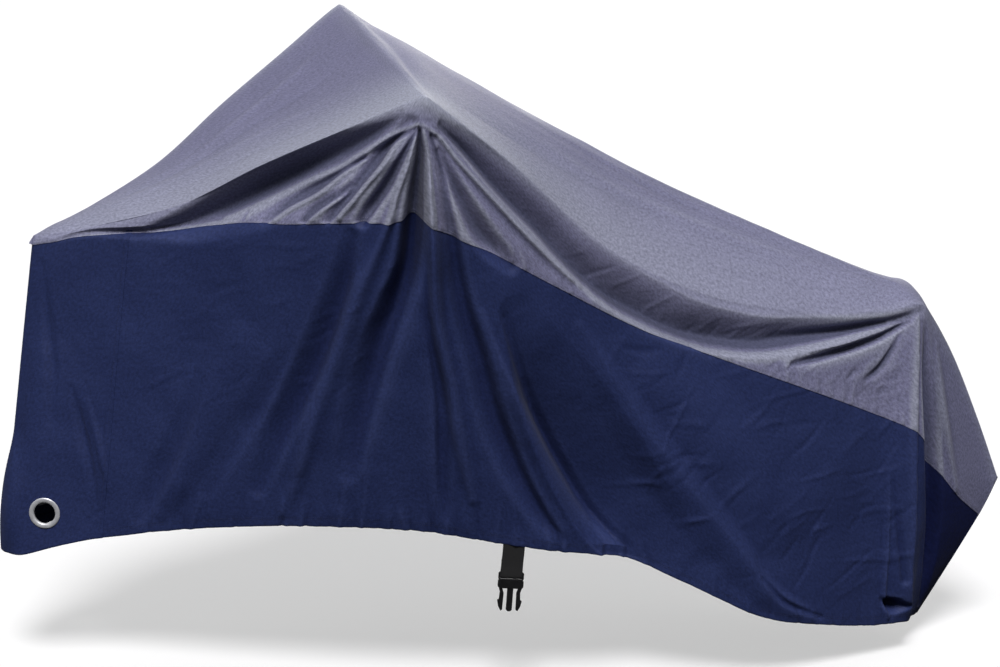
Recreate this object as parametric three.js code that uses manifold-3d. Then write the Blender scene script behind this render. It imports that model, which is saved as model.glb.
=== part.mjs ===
// A fitted cloth cover as it hangs: a grey upper panel with two peaks, navy side panels, a nose strip with
// an eyelet on each side, and a webbing strap on each side that ends in one half of a buckle.
// Millimetres. +X runs from the nose to the tail, -Y is the left side and +Z is up.
// The origin is under the top, midway between the two peaks.

import * as THREE from "three";
import { mergeVertices } from "three/addons/utils/BufferGeometryUtils.js";
import Module from "manifold-3d";

const wasm = await Module();
wasm.setup();

// Driving dimensions
const SHEET = 2.4; // thickness of the cloth
const GAP = 0.3; // room between neighbouring pieces
const SEAM_GAP = 0.4; // room between two panels along the seam, measured down the middle of each line
const PEAK_HALF = 460; // distance of each peak from the middle plane
const PEAK_TURN = 80; // the left peak lies this far back and the right one this far forward
const TAIL_CORNER_X = 1290; // where the top ends and the tail falls away
const LEAN = 0.1; // rise in z for each millimetre of y, because the left side hangs lower
const TIP_HALF = 0.2; // half the room between the two sides at the end of the tail
const EDGE_ROUND = 6; // how far the edge is drawn in where the top turns into the wall
const EDGE_ROUND_WALL = 200; // the edge is drawn in by less where the wall down to the seam is shorter
const CROWN_POWER = 1.8; // shape of the top across: 2 is a parabola, less is more like a roof
const FOLD_ROOM = [4, 60]; // folds grow to their full height between these half widths
const EYELET = { u: 1.6, v: 1.88, outer: 38, back: 36, hole: 26, wall: 2.2, flange: 3.2, backFlange: 2 };
const EYELET_SIDES = 36;
const EYELET_FLAT = 85; // the nose strip is flat within this distance of an eyelet
const EYELET_FADE = 140; // and hangs freely again from this distance on
const NOSE_STRIP_END = 2.5; // the nose strip ends on this line down the side
const NOSE_BULGE = 0.17; // how far the nose stands forward, as a share of its width
const STRAP = { u: 9.5, thick: 2, width: 50, sewn: 1.95, drop: 72, back: 34, tilt: 4 };
// The loop of the strap around the bar: its legs and its room beside and under the bar
const LOOP = { top: 30, straight: 12, beside: 0.8, under: 0.9, sag: 0.4, shoulder: 0.75, rise: 5, meet: 20 };
const BUCKLE = { width: 60, bar: 7, barThick: 5, slot: 10, thick: 10, cut: 4, overlap: 2 };
const PLUG = { long: 97, body: 21, guide: 7, guideThick: 6, armThick: 7 };
const SOCKET = { extra: 3, long: 58, thick: 16, wall: 5, roof: 8, windowLow: 18, windowHigh: 42 };

// One springy arm of the plug half: x from its middle, and z from the end of the body or from the tip
const PLUG_ARM = [
  { x: 20, from: "body", z: 3 },
  { x: 15, from: "body", z: -12 },
  { x: 16, from: "tip", z: 4 },
  { x: 20, from: "tip", z: 1 },
  { x: 26, from: "tip", z: 12 },
  { x: 29, from: "tip", z: 26 },
  { x: 25, from: "tip", z: 28 },
  { x: 24, from: "body", z: -10 },
  { x: 28, from: "body", z: 3 },
];

// Lines down the side from the nose to the tail, before the turn and the lean. Each has the point where
// the top turns over its edge, the point on the seam and the point on the hem, given as x, half width and
// z. Then come the crown, which is how far the top's middle stands above its edges, and the number of
// columns up to the next line.
const LINES = [
  { edge: [-820, 9, -436], seam: [-824, 11, -447], hem: [-928, 8, -1208], crown: 0, columns: 2 },
  { edge: [-775, 32, -420], seam: [-782, 40, -432], hem: [-886, 58, -1200], crown: 4, columns: 2 },
  { edge: [-700, 68, -397], seam: [-711, 73, -410], hem: [-800, 80, -1172], crown: 8, columns: 4 },
  { edge: [-505, 177, -315], seam: [-530, 180, -373], hem: [-617, 145, -1118], crown: 12, columns: 4 },
  { edge: [-335, 272, -200], seam: [-395, 275, -327], hem: [-484, 212, -1082], crown: -10, columns: 5 },
  { edge: [-170, 364, -98], seam: [-285, 352, -305], hem: [-351, 262, -1059], crown: -12, columns: 5 },
  { edge: [-62, 425, -30], seam: [-184, 412, -286], hem: [-220, 302, -1046], crown: -5, columns: 4 },
  { edge: [-17, 450, -4], seam: [-91, 445, -277], hem: [-96, 328, -1042], crown: 0, columns: 3 },
  { edge: [0, PEAK_HALF, 0], seam: [-20, 455, -271], hem: [17, 342, -1049], crown: 0, columns: 3 },
  { edge: [22, 455, -15], seam: [54, 455, -306], hem: [150, 348, -1070], crown: 12, columns: 4 },
  { edge: [83, 438, -62], seam: [176, 440, -363], hem: [321, 350, -1099], crown: 45, columns: 5 },
  { edge: [235, 395, -184], seam: [329, 405, -449], hem: [497, 345, -1128], crown: 85, columns: 5 },
  { edge: [457, 333, -381], seam: [535, 355, -563], hem: [677, 325, -1207], crown: 160, columns: 4 },
  { edge: [700, 264, -530], seam: [732, 305, -651], hem: [863, 295, -1304], crown: 182, columns: 4 },
  { edge: [946, 192, -608], seam: [959, 245, -750], hem: [1028, 240, -1355], crown: 150, columns: 4 },
  { edge: [1184, 122, -632], seam: [1156, 165, -847], hem: [1174, 170, -1395], crown: 70, columns: 4 },
  { edge: [1290, 90, -615], seam: [1292, 110, -924], hem: [1271, 120, -1411], crown: 10, columns: 2 },
  { edge: [1337, 60, -675], seam: [1347, 75, -1020], hem: [1295, 75, -1424], crown: 10, columns: 2 },
  { edge: [1400, 35, -785], seam: [1408, 45, -1106], hem: [1312, 45, -1431], crown: 8, columns: 2 },
  { edge: [1469, 17, -945], seam: [1452, 20, -1152], hem: [1325, 20, -1440], crown: 4, columns: 2 },
  { edge: [1526, 5, -1094], seam: [1486, 0, -1184], hem: [1336, 0, -1444], crown: 1, columns: 0 },
];

// Rows of points across the cover: v is 0 at the edge, 1 on the seam and 2 at the hem,
// and across is -1 at the left edge of the top and 1 at its right edge.
const LEFT_SKIRT_ROWS = [2, STRAP.sewn, 1.86, 1.74, 1.6, 1.45, 1.3, 1.15];
const LEFT_UPPER_ROWS = [0.86, 0.72, 0.58, 0.44, 0.3, 0.16, 0.06, 0];
const TOP_ROWS = [-0.94, -0.8, -0.55, -0.28, 0, 0.28, 0.55, 0.8, 0.94];
const RIGHT_UPPER_ROWS = [0, 0.08, 0.22, 0.4, 0.6, 0.8];
const RIGHT_SKIRT_ROWS = [1.2, 1.4, 1.6, 1.74, 1.86, STRAP.sewn, 2];

// Folds of the walls, seen from the side. A fold runs along a curve through three points (x, z). It has a
// half width at each end, a height at its start, middle and end, which is negative for a trough, and a
// sharpness, which is 0 for a soft fold and 1 for a crease.
const LEFT_FOLDS = [
  // The trough under the front edge and the fan of folds below the peak
  { path: [[-45, -50], [-236, -172], [-530, -352]], half: [26, 30], out: [-25, -50, -20], sharp: 0 },
  { path: [[-20, -68], [-219, -188], [-455, -339]], half: [18, 26], out: [8, 24, 18], sharp: 0.8 },
  { path: [[-22, -74], [-181, -198], [-363, -316]], half: [10, 22], out: [-4, -12, -18], sharp: 0.2 },
  { path: [[-22, -74], [-161, -177], [-308, -305]], half: [9, 18], out: [4, 12, 16], sharp: 0.6 },
  { path: [[-22, -74], [-141, -174], [-270, -297]], half: [9, 17], out: [-4, -12, -16], sharp: 0.3 },
  { path: [[-22, -74], [-125, -172], [-232, -291]], half: [9, 17], out: [4, 12, 16], sharp: 0.6 },
  { path: [[-22, -74], [-105, -170], [-187, -283]], half: [8, 18], out: [3, 10, 15], sharp: 0.6 },
  { path: [[-22, -74], [-80, -168], [-139, -279]], half: [9, 24], out: [-5, -15, -24], sharp: 0.2 },
  { path: [[-22, -74], [-53, -166], [-85, -275]], half: [10, 26], out: [4, 12, 22], sharp: 0.5 },
  { path: [[-28, -84], [-31, -266], [-51, -466]], half: [16, 42], out: [-18, -52, -35], sharp: 0.1 },
  { path: [[-7, -72], [11, -289], [41, -537]], half: [12, 40], out: [8, 30, 20], sharp: 0.4 },
  { path: [[6, -94], [90, -314], [119, -539]], half: [16, 50], out: [-10, -28, -20], sharp: 0 },
  { path: [[-16, -68], [152, -233], [369, -446]], half: [15, 36], out: [8, 28, 14], sharp: 0.6 },
  { path: [[44, -60], [228, -245], [470, -455]], half: [22, 34], out: [-15, -40, -18], sharp: 0 },
  // The same folds running on down the navy panel
  { path: [[-159, -306], [-183, -546], [-298, -961]], half: [24, 45], out: [-22, -28, -10], sharp: 0 },
  { path: [[-110, -290], [-120, -541], [-177, -897]], half: [24, 40], out: [18, 16, 6], sharp: 0.2 },
  { path: [[-51, -466], [-54, -560], [-77, -968]], half: [42, 50], out: [-10, -30, -12], sharp: 0 },
  { path: [[41, -537], [90, -700], [210, -1058]], half: [40, 40], out: [8, 18, 12], sharp: 0.3 },
  { path: [[119, -539], [170, -700], [332, -1046]], half: [50, 45], out: [-8, -22, -14], sharp: 0 },
  { path: [[185, -470], [281, -777], [512, -1087]], half: [40, 45], out: [8, 28, 18], sharp: 0.3 },
  { path: [[300, -478], [416, -799], [663, -1143]], half: [60, 70], out: [-15, -42, -22], sharp: 0 },
  { path: [[432, -538], [511, -780], [898, -1265]], half: [60, 70], out: [8, 28, 16], sharp: 0.1 },
  // The tail corner and the fin behind it
  { path: [[1275, -640], [1102, -672], [929, -703]], half: [22, 24], out: [-10, -20, -10], sharp: 0 },
  { path: [[1259, -685], [1212, -714], [1086, -792]], half: [22, 24], out: [-6, -14, -8], sharp: 0 },
  { path: [[1289, -640], [1293, -924], [1276, -1404]], half: [20, 22], out: [8, 16, 14], sharp: 0.8 },
  { path: [[1319, -700], [1329, -1015], [1315, -1384]], half: [24, 24], out: [-14, -26, -14], sharp: 0 },
  { path: [[1352, -742], [1388, -973], [1375, -1291]], half: [24, 28], out: [6, 14, 8], sharp: 0.3 },
  { path: [[1236, -1014], [1246, -1210], [1240, -1390]], half: [24, 28], out: [-4, -14, -20], sharp: 0 },
  // The gathers above the hem at the back
  { path: [[777, -1096], [896, -1264], [1055, -1355]], half: [30, 34], out: [6, 16, 10], sharp: 0.4 },
  { path: [[731, -1086], [819, -1228], [902, -1304]], half: [32, 36], out: [-6, -18, -12], sharp: 0 },
  // The slack front
  { path: [[-812, -545], [-806, -725], [-819, -894]], half: [30, 30], out: [-5, -9, -5], sharp: 0 },
  { path: [[-551, -809], [-601, -932], [-659, -1067]], half: [44, 44], out: [-5, -10, -6], sharp: 0 },
  { path: [[-400, -510], [-478, -763], [-571, -1076]], half: [70, 70], out: [8, 14, 10], sharp: 0 },
];
const RIGHT_FOLDS = [
  { path: [[-45, -50], [-240, -175], [-500, -340]], half: [28, 34], out: [-18, -34, -14], sharp: 0 },
  { path: [[-20, -70], [-190, -195], [-330, -310]], half: [18, 34], out: [6, 18, 14], sharp: 0.5 },
  { path: [[-22, -76], [-125, -175], [-235, -290]], half: [14, 32], out: [-5, -16, -18], sharp: 0 },
  { path: [[-22, -76], [-90, -170], [-150, -280]], half: [12, 32], out: [4, 14, 18], sharp: 0.4 },
  { path: [[-20, -84], [-35, -270], [-70, -520]], half: [18, 44], out: [-14, -36, -16], sharp: 0 },
  { path: [[-5, -76], [35, -290], [60, -600]], half: [14, 44], out: [6, 22, 10], sharp: 0.3 },
  { path: [[44, -64], [230, -250], [455, -445]], half: [24, 36], out: [-12, -28, -12], sharp: 0 },
  { path: [[-120, -330], [-150, -600], [-230, -940]], half: [40, 55], out: [6, 18, 8], sharp: 0.1 },
  { path: [[140, -420], [250, -720], [420, -1060]], half: [50, 60], out: [-8, -24, -12], sharp: 0 },
  { path: [[330, -520], [450, -800], [760, -1180]], half: [60, 70], out: [6, 22, 12], sharp: 0.1 },
  { path: [[1289, -650], [1293, -924], [1276, -1390]], half: [24, 26], out: [5, 12, 10], sharp: 0.6 },
  { path: [[1325, -720], [1332, -1015], [1312, -1370]], half: [26, 26], out: [-8, -16, -10], sharp: 0 },
  { path: [[-420, -520], [-470, -770], [-540, -1060]], half: [80, 80], out: [6, 14, 8], sharp: 0 },
];

const LEFT = -1;
const RIGHT = 1;
const LAST = LINES.length - 1;
const UP = new THREE.Vector3(0, 0, 1);
const FOLD_STEPS = 10;
const SMALL_STEP = 0.02;

const curveOf = (points) => new THREE.CatmullRomCurve3(points, false, "catmullrom", 0.5);
const EDGE_CURVE = curveOf(LINES.map((line) => new THREE.Vector3(...line.edge)));
const SEAM_CURVE = curveOf(LINES.map((line) => new THREE.Vector3(...line.seam)));
const HEM_CURVE = curveOf(LINES.map((line) => new THREE.Vector3(...line.hem)));
const CROWN_CURVE = curveOf(LINES.map((line, index) => new THREE.Vector3(index, 0, line.crown)));
const onCurve = (curve, u) => curve.getPoint(THREE.MathUtils.clamp(u / LAST, 0, 1));

// A point part of the way between two points, leaving and arriving along the given slopes
function between(from, to, leave, arrive, part) {
  const length = from.distanceTo(to);
  const square = part * part;
  const cube = square * part;
  return from
    .clone()
    .multiplyScalar(2 * cube - 3 * square + 1)
    .addScaledVector(leave, (cube - 2 * square + part) * length)
    .addScaledVector(to, 3 * square - 2 * cube)
    .addScaledVector(arrive, (cube - square) * length);
}

// The wall without its folds, as x, half width and z
function plainWall(u, v) {
  const edge = onCurve(EDGE_CURVE, u);
  const seam = onCurve(SEAM_CURVE, u);
  const hem = onCurve(HEM_CURVE, u);
  const length = edge.distanceTo(seam) + seam.distanceTo(hem);
  const overall = hem.clone().sub(edge).divideScalar(length);
  const freeEnd = (from, to) =>
    to.clone().sub(from).normalize().multiplyScalar(1.5).addScaledVector(overall, -0.5);
  const point =
    v <= 1
      ? between(edge, seam, freeEnd(edge, seam), overall, v)
      : between(seam, hem, overall, freeEnd(seam, hem), v - 1);
  point.y = Math.max(point.y, TIP_HALF);
  return point;
}

// The way out of the wall, level with the ground. At the very end of the tail it points straight back.
function wayOut(u, v) {
  if (u >= LAST) return new THREE.Vector3(1, 0, 0);
  const run = plainWall(u + SMALL_STEP, v).sub(plainWall(Math.max(u - SMALL_STEP, 0), v));
  return new THREE.Vector3(-run.y, run.x, 0).normalize();
}

// The way out of the top, in the plane of x and z
function wayUp(u) {
  const run = onCurve(EDGE_CURVE, u + SMALL_STEP).sub(onCurve(EDGE_CURVE, u - SMALL_STEP));
  return new THREE.Vector3(-run.z, 0, run.x).normalize();
}

// A fold's curve as short straight steps
function foldSteps(fold) {
  const [start, middle, end] = fold.path.map((point) => new THREE.Vector2(...point));
  const control = middle.clone().multiplyScalar(2).addScaledVector(start, -0.5).addScaledVector(end, -0.5);
  return new THREE.QuadraticBezierCurve(start, control, end).getPoints(FOLD_STEPS);
}

const withSteps = (folds) => folds.map((fold) => ({ ...fold, steps: foldSteps(fold) }));
const FOLDS = { [LEFT]: withSteps(LEFT_FOLDS), [RIGHT]: withSteps(RIGHT_FOLDS) };

// The place on a fold that is nearest to a point, as a share of its length, and the distance to it
function nearestOnFold(fold, point) {
  let best = { distance: Infinity, share: 0 };
  for (let step = 0; step < FOLD_STEPS; step += 1) {
    const from = fold.steps[step];
    const run = fold.steps[step + 1].clone().sub(from);
    const part = THREE.MathUtils.clamp(point.clone().sub(from).dot(run) / run.lengthSq(), 0, 1);
    const distance = from.clone().addScaledVector(run, part).distanceTo(point);
    if (distance < best.distance) best = { distance, share: (step + part) / FOLD_STEPS };
  }
  return best;
}

// How far the folds of one side move a point of its wall outwards
function foldHeight(side, x, z) {
  const point = new THREE.Vector2(x, z);
  let height = 0;
  for (const fold of FOLDS[side]) {
    const { distance, share } = nearestOnFold(fold, point);
    const half = THREE.MathUtils.lerp(fold.half[0], fold.half[1], share);
    if (distance >= half) continue;
    const away = distance / half;
    const soft = (1 - away * away) ** 2;
    const sharp = (1 - away) ** 2;
    const [start, middle, end] = fold.out;
    const crest =
      share < 0.5
        ? THREE.MathUtils.lerp(start, middle, 2 * share)
        : THREE.MathUtils.lerp(middle, end, 2 * share - 1);
    height += crest * THREE.MathUtils.lerp(soft, sharp, fold.sharp);
  }
  return height;
}

// From x, half width and z to the frame: the peaks are turned and the whole leans to the left
function place(point, side) {
  const y = side * point.y;
  const turned = THREE.MathUtils.clamp(1 - point.x / TAIL_CORNER_X, 0, 1);
  const x = point.x - (PEAK_TURN / PEAK_HALF) * y * turned;
  return new THREE.Vector3(x, y, point.z + LEAN * y + SHEET);
}

// The flat spot of the nose strip at an eyelet, before the turn and the lean
const eyeletCentre = plainWall(EYELET.u, EYELET.v);
const eyeletOut = plainWall(EYELET.u + SMALL_STEP, EYELET.v)
  .sub(plainWall(EYELET.u - SMALL_STEP, EYELET.v))
  .cross(plainWall(EYELET.u, EYELET.v + SMALL_STEP).sub(plainWall(EYELET.u, EYELET.v - SMALL_STEP)))
  .normalize();
if (eyeletOut.y < 0) eyeletOut.negate();

function flattenAtEyelet(point) {
  const away = Math.hypot(point.x - eyeletCentre.x, point.z - eyeletCentre.z);
  const loose = THREE.MathUtils.smoothstep(away, EYELET_FLAT, EYELET_FADE);
  const height = point.clone().sub(eyeletCentre).dot(eyeletOut);
  point.y -= ((1 - loose) * height) / eyeletOut.y;
}

// A point of a wall's outer face with its folds, and the step from there to its inner face
function wall(side, u, v) {
  const point = plainWall(u, v);
  const out = wayOut(u, v);
  const room = THREE.MathUtils.smoothstep(point.y, ...FOLD_ROOM);
  point.addScaledVector(out, room * foldHeight(side, point.x, point.z));
  flattenAtEyelet(point);
  const inward = new THREE.Vector3(-out.x, -side * out.y, 0).multiplyScalar(SHEET);
  if (v === 0) {
    const height = onCurve(EDGE_CURVE, u).distanceTo(onCurve(SEAM_CURVE, u));
    const roundness = Math.min(1, height / EDGE_ROUND_WALL);
    point.y -= EDGE_ROUND * roundness;
    point.z -= EDGE_ROUND * roundness;
    inward.set(0, -side * SHEET * out.y, 0).addScaledVector(wayUp(u), -SHEET);
  }
  return { outer: place(point, side), inward };
}

// A point of the top's outer face, and the step from there to its inner face
function top(u, across) {
  const point = onCurve(EDGE_CURVE, u);
  point.z += onCurve(CROWN_CURVE, u).z * (1 - Math.abs(across) ** CROWN_POWER);
  point.y *= Math.abs(across);
  return { outer: place(point, Math.sign(across)), inward: wayUp(u).multiplyScalar(-SHEET) };
}

// The v of a row that lies half a gap above or below the seam
function besideSeam(u, direction) {
  const seam = onCurve(SEAM_CURVE, u);
  const toward = onCurve(direction < 0 ? EDGE_CURVE : HEM_CURVE, u);
  return 1 + (direction * SEAM_GAP) / 2 / seam.distanceTo(toward);
}

const wallRow = (side) => (v) => ({ at: (u) => wall(side, u, v), side, v });
const seamRow = (side, direction) => ({ at: (u) => wall(side, u, besideSeam(u, direction)), side, v: 1 });
const topRow = (across) => ({ at: (u) => top(u, across), across });
const LEFT_SKIRT = [...LEFT_SKIRT_ROWS.map(wallRow(LEFT)), seamRow(LEFT, 1)];
const RIGHT_SKIRT = [seamRow(RIGHT, 1), ...RIGHT_SKIRT_ROWS.map(wallRow(RIGHT))];
const UPPER = [
  seamRow(LEFT, -1),
  ...LEFT_UPPER_ROWS.map(wallRow(LEFT)),
  ...TOP_ROWS.map(topRow),
  ...RIGHT_UPPER_ROWS.map(wallRow(RIGHT)),
  seamRow(RIGHT, -1),
];

// Columns of points along the cover, with one at each border of the nose strip and of the straps
const noseGap = SEAM_GAP / 2 / onCurve(HEM_CURVE, 2).distanceTo(onCurve(HEM_CURVE, 3));
const strapSpan = onCurve(HEM_CURVE, 9).distanceTo(onCurve(HEM_CURVE, 10));
const STRAP_COLUMNS = [-1, 0, 1].map((edge) => STRAP.u + (edge * STRAP.width) / 2 / strapSpan);
const BORDERS = [NOSE_STRIP_END - noseGap, NOSE_STRIP_END + noseGap, ...STRAP_COLUMNS];
const COLUMN_ROOM = 0.09;

function columns(first, last) {
  const plain = LINES.flatMap((line, index) =>
    Array.from({ length: line.columns }, (_, step) => index + step / line.columns),
  );
  const apart = (u) => BORDERS.every((border) => Math.abs(u - border) > COLUMN_ROOM);
  return [...plain.filter(apart), LAST, ...BORDERS]
    .sort((a, b) => a - b)
    .filter((u) => u >= first && u <= last);
}

// The middle of a cell of the cloth, where both its rows lie on one wall or on the top
function cellMiddle(rowA, rowB, u) {
  if (rowA.v !== undefined && rowB.v !== undefined && rowA.side === rowB.side) {
    return wall(rowA.side, u, (rowA.v + rowB.v) / 2).outer;
  }
  if (rowA.across !== undefined && rowB.across !== undefined) {
    return top(u, (rowA.across + rowB.across) / 2).outer;
  }
  return null;
}

// A closed solid from a grid of outer points and a grid of inner points. Each cell is split along the
// diagonal that is nearer to the cell's true middle, or along the shorter one.
function sheetSolid(outer, inner, middleOf) {
  const across = outer.length;
  const along = outer[0].length;
  const points = [...outer.flat(), ...inner.flat()];
  const front = (i, j) => i * along + j;
  const back = (i, j) => across * along + i * along + j;
  const triangles = [];
  const border = (a, b, aBack, bBack) => {
    const shorter = points[b].distanceTo(points[aBack]) <= points[a].distanceTo(points[bBack]);
    triangles.push(...(shorter ? [[a, aBack, b], [b, aBack, bBack]] : [[a, aBack, bBack], [a, bBack, b]]));
  };
  for (let i = 0; i + 1 < across; i += 1) {
    for (let j = 0; j + 1 < along; j += 1) {
      const [a, b, c, d] = [[i, j], [i + 1, j], [i + 1, j + 1], [i, j + 1]];
      const [pa, pb, pc, pd] = [a, b, c, d].map(([row, column]) => outer[row][column]);
      const middle = middleOf(i, j);
      const miss = (p, q) => p.clone().add(q).multiplyScalar(0.5).distanceTo(middle);
      const straight = middle ? miss(pa, pc) <= miss(pb, pd) : pa.distanceTo(pc) <= pb.distanceTo(pd);
      const halves = straight ? [[a, b, c], [a, c, d]] : [[a, b, d], [b, c, d]];
      for (const half of halves) {
        triangles.push(half.map(([row, column]) => front(row, column)));
        triangles.push(half.map(([row, column]) => back(row, column)).reverse());
      }
    }
  }
  for (let i = 0; i + 1 < across; i += 1) {
    border(front(i, 0), front(i + 1, 0), back(i, 0), back(i + 1, 0));
    border(front(i + 1, along - 1), front(i, along - 1), back(i + 1, along - 1), back(i, along - 1));
  }
  for (let j = 0; j + 1 < along; j += 1) {
    border(front(0, j + 1), front(0, j), back(0, j + 1), back(0, j));
    border(front(across - 1, j), front(across - 1, j + 1), back(across - 1, j), back(across - 1, j + 1));
  }
  return facingOut(points, triangles);
}

// A geometry from points and triangles, turned over where its faces point inwards
function facingOut(points, triangles) {
  const volume = triangles.reduce((sum, [a, b, c]) => {
    const turned = new THREE.Vector3().crossVectors(points[b], points[c]);
    return sum + points[a].dot(turned);
  }, 0);
  const order = volume < 0 ? triangles.map(([a, b, c]) => [a, c, b]) : triangles;
  const geometry = new THREE.BufferGeometry().setFromPoints(points);
  geometry.setIndex(order.flat());
  return geometry;
}

// A panel of the cover between two columns
function panel(rows, us) {
  const cells = rows.map((row) => us.map((u) => row.at(u)));
  const outer = cells.map((line) => line.map((cell) => cell.outer));
  const inner = cells.map((line) => line.map((cell) => cell.outer.clone().add(cell.inward)));
  const middleOf = (i, j) => cellMiddle(rows[i], rows[i + 1], (us[j] + us[j + 1]) / 2);
  return sheetSolid(outer, inner, middleOf);
}

// Joining and cutting
function solidOf(geometry) {
  const bare = geometry.clone();
  bare.deleteAttribute("normal");
  bare.deleteAttribute("uv");
  const merged = mergeVertices(bare);
  const mesh = new wasm.Mesh({
    numProp: 3,
    vertProperties: Float32Array.from(merged.attributes.position.array),
    triVerts: Uint32Array.from(merged.index.array),
  });
  return new wasm.Manifold(mesh);
}

function geometryOf(solid) {
  const mesh = solid.getMesh();
  const geometry = new THREE.BufferGeometry();
  geometry.setAttribute("position", new THREE.BufferAttribute(mesh.vertProperties, 3));
  geometry.setIndex(new THREE.BufferAttribute(mesh.triVerts, 1));
  return geometry;
}

// The place of an eyelet: its axis is the local +Y, which points out of the cloth
function eyeletMatrix(side) {
  const centre = place(eyeletCentre, side);
  const along = place(eyeletCentre.clone().add(tangentOf(1, 0)), side).sub(centre);
  const upward = place(eyeletCentre.clone().add(tangentOf(0, 1)), side).sub(centre);
  const out = along.cross(upward).normalize();
  if (out.y * side < 0) out.negate();
  const first = new THREE.Vector3().crossVectors(out, UP).normalize();
  const second = new THREE.Vector3().crossVectors(first, out);
  return new THREE.Matrix4().makeBasis(first, out, second).setPosition(centre);
}

// A short step on the flat spot with the given parts in x and z
function tangentOf(x, z) {
  return new THREE.Vector3(x, -(x * eyeletOut.x + z * eyeletOut.z) / eyeletOut.y, z);
}

// A metal ring with a flange on each face of the cloth, turned from its closed profile
function eyeletRing(side) {
  const inside = -SHEET - GAP;
  const outerFlange = EYELET.flange;
  const innerFlange = EYELET.backFlange;
  const profile = [
    [EYELET.hole, inside - innerFlange * 0.6],
    [EYELET.hole + innerFlange * 0.4, inside - innerFlange],
    [EYELET.back, inside - innerFlange * 0.7],
    [EYELET.back, inside],
    [EYELET.hole + EYELET.wall, inside],
    [EYELET.hole + EYELET.wall, GAP],
    [EYELET.outer, GAP],
    [EYELET.outer - outerFlange * 0.2, GAP + outerFlange * 0.5],
    [EYELET.outer - outerFlange, GAP + outerFlange * 0.9],
    [EYELET.hole + outerFlange * 1.9, GAP + outerFlange],
    [EYELET.hole + outerFlange * 0.6, GAP + outerFlange * 0.7],
    [EYELET.hole, GAP],
    [EYELET.hole, inside - innerFlange * 0.6],
  ].map(([radius, height]) => new THREE.Vector2(radius, height));
  return new THREE.LatheGeometry(profile, EYELET_SIDES).applyMatrix4(eyeletMatrix(side));
}

// The strip that wraps the nose from one side to the other, with a round hole for each eyelet
function noseStrip() {
  const us = columns(0, NOSE_STRIP_END);
  const rows = LEFT_SKIRT.map((row) => row.v);
  const seamV = (u, v) => (v === 1 ? besideSeam(u, 1) : v);
  const sideGrid = (side) => rows.map((v) => us.map((u) => wall(side, u, seamV(u, v))));
  const left = sideGrid(LEFT);
  const right = sideGrid(RIGHT);
  const middles = left.map((line, i) => noseMiddle(line[0], right[i][0]));
  const cells = left.map((line, i) => [...line.toReversed(), middles[i], ...right[i]]);
  const outer = cells.map((line) => line.map((cell) => cell.outer));
  const inner = cells.map((line) => line.map((cell) => cell.outer.clone().add(cell.inward)));
  const cutters = [LEFT, RIGHT].map((side) => {
    const radius = EYELET.hole + EYELET.wall + GAP;
    const room = new THREE.CylinderGeometry(radius, radius, EYELET.hole, EYELET_SIDES);
    return solidOf(room.applyMatrix4(eyeletMatrix(side)));
  });
  const strip = solidOf(sheetSolid(outer, inner, () => null));
  return geometryOf(strip.subtract(cutters[0]).subtract(cutters[1]));
}

// The foremost point of the nose strip in one row, midway between its two sides
function noseMiddle(left, right) {
  const outer = left.outer.clone().add(right.outer).multiplyScalar(0.5);
  outer.x -= NOSE_BULGE * left.outer.distanceTo(right.outer);
  return { outer, inward: new THREE.Vector3(SHEET, 0, 0) };
}

// The place of a buckle half: the middle of its strap bar, hanging below the hem, with +Y into the cover
function buckleMatrix(side) {
  const hem = wall(side, STRAP.u, 2);
  const inward = hem.inward.clone().normalize();
  const position = hem.outer
    .clone()
    .add(hem.inward)
    .addScaledVector(inward, BUCKLE.barThick / 2 + STRAP.thick + 2 * GAP);
  position.z -= STRAP.drop;
  const tilt = THREE.MathUtils.degToRad(STRAP.tilt);
  position.x -= STRAP.drop * Math.tan(tilt);
  const upright = new THREE.Vector3(Math.sin(tilt), 0, Math.cos(tilt));
  const across = new THREE.Vector3().crossVectors(inward, upright).normalize();
  upright.crossVectors(across, inward);
  return new THREE.Matrix4().makeBasis(across, inward, upright).setPosition(position);
}

// The strap's path around the buckle bar, as (y, z) from the bar's middle: down in front and up behind
function strapPath() {
  const leg = BUCKLE.barThick / 2 + STRAP.thick / 2 + LOOP.beside;
  const under = BUCKLE.bar / 2 + STRAP.thick / 2 + LOOP.under;
  const corner = BUCKLE.bar / 2 - GAP;
  const behind = -leg + STRAP.thick + GAP;
  const path = [
    [-leg, LOOP.top],
    [-leg, LOOP.straight],
    [-leg, 0],
    [-leg, -corner],
    [-leg * LOOP.shoulder, -under],
    [0, -under - LOOP.sag],
    [leg * LOOP.shoulder, -under],
    [leg, -corner],
    [leg, 0],
    [leg, LOOP.rise],
    [behind, LOOP.meet],
    [behind, STRAP.back],
  ];
  return path.map(([y, z]) => new THREE.Vector2(y, z));
}

// A webbing strap: sewn inside the hem, hanging from it and looped around the buckle bar
function strap(side) {
  const matrix = buckleMatrix(side);
  const path = strapPath();
  const rows = [STRAP.sewn, 2].map((v) => ({
    outer: STRAP_COLUMNS.map((u) => sewnPoint(side, u, v, GAP)),
    inner: STRAP_COLUMNS.map((u) => sewnPoint(side, u, v, GAP + STRAP.thick)),
  }));
  path.forEach((point, index) => {
    const next = path[Math.min(index + 1, path.length - 1)];
    const before = path[Math.max(index - 1, 0)];
    const run = next.clone().sub(before).normalize();
    const out = new THREE.Vector2(run.y, -run.x).multiplyScalar(STRAP.thick / 2);
    const at = (edge, sign) =>
      new THREE.Vector3(
        (edge * STRAP.width * side) / -2,
        point.x + sign * out.x,
        point.y + sign * out.y,
      ).applyMatrix4(matrix);
    const row = (sign) => [-1, 0, 1].map((edge) => at(edge, sign));
    rows.push({ outer: row(1), inner: row(-1) });
  });
  return sheetSolid(
    rows.map((row) => row.outer),
    rows.map((row) => row.inner),
    () => null,
  );
}

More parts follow.
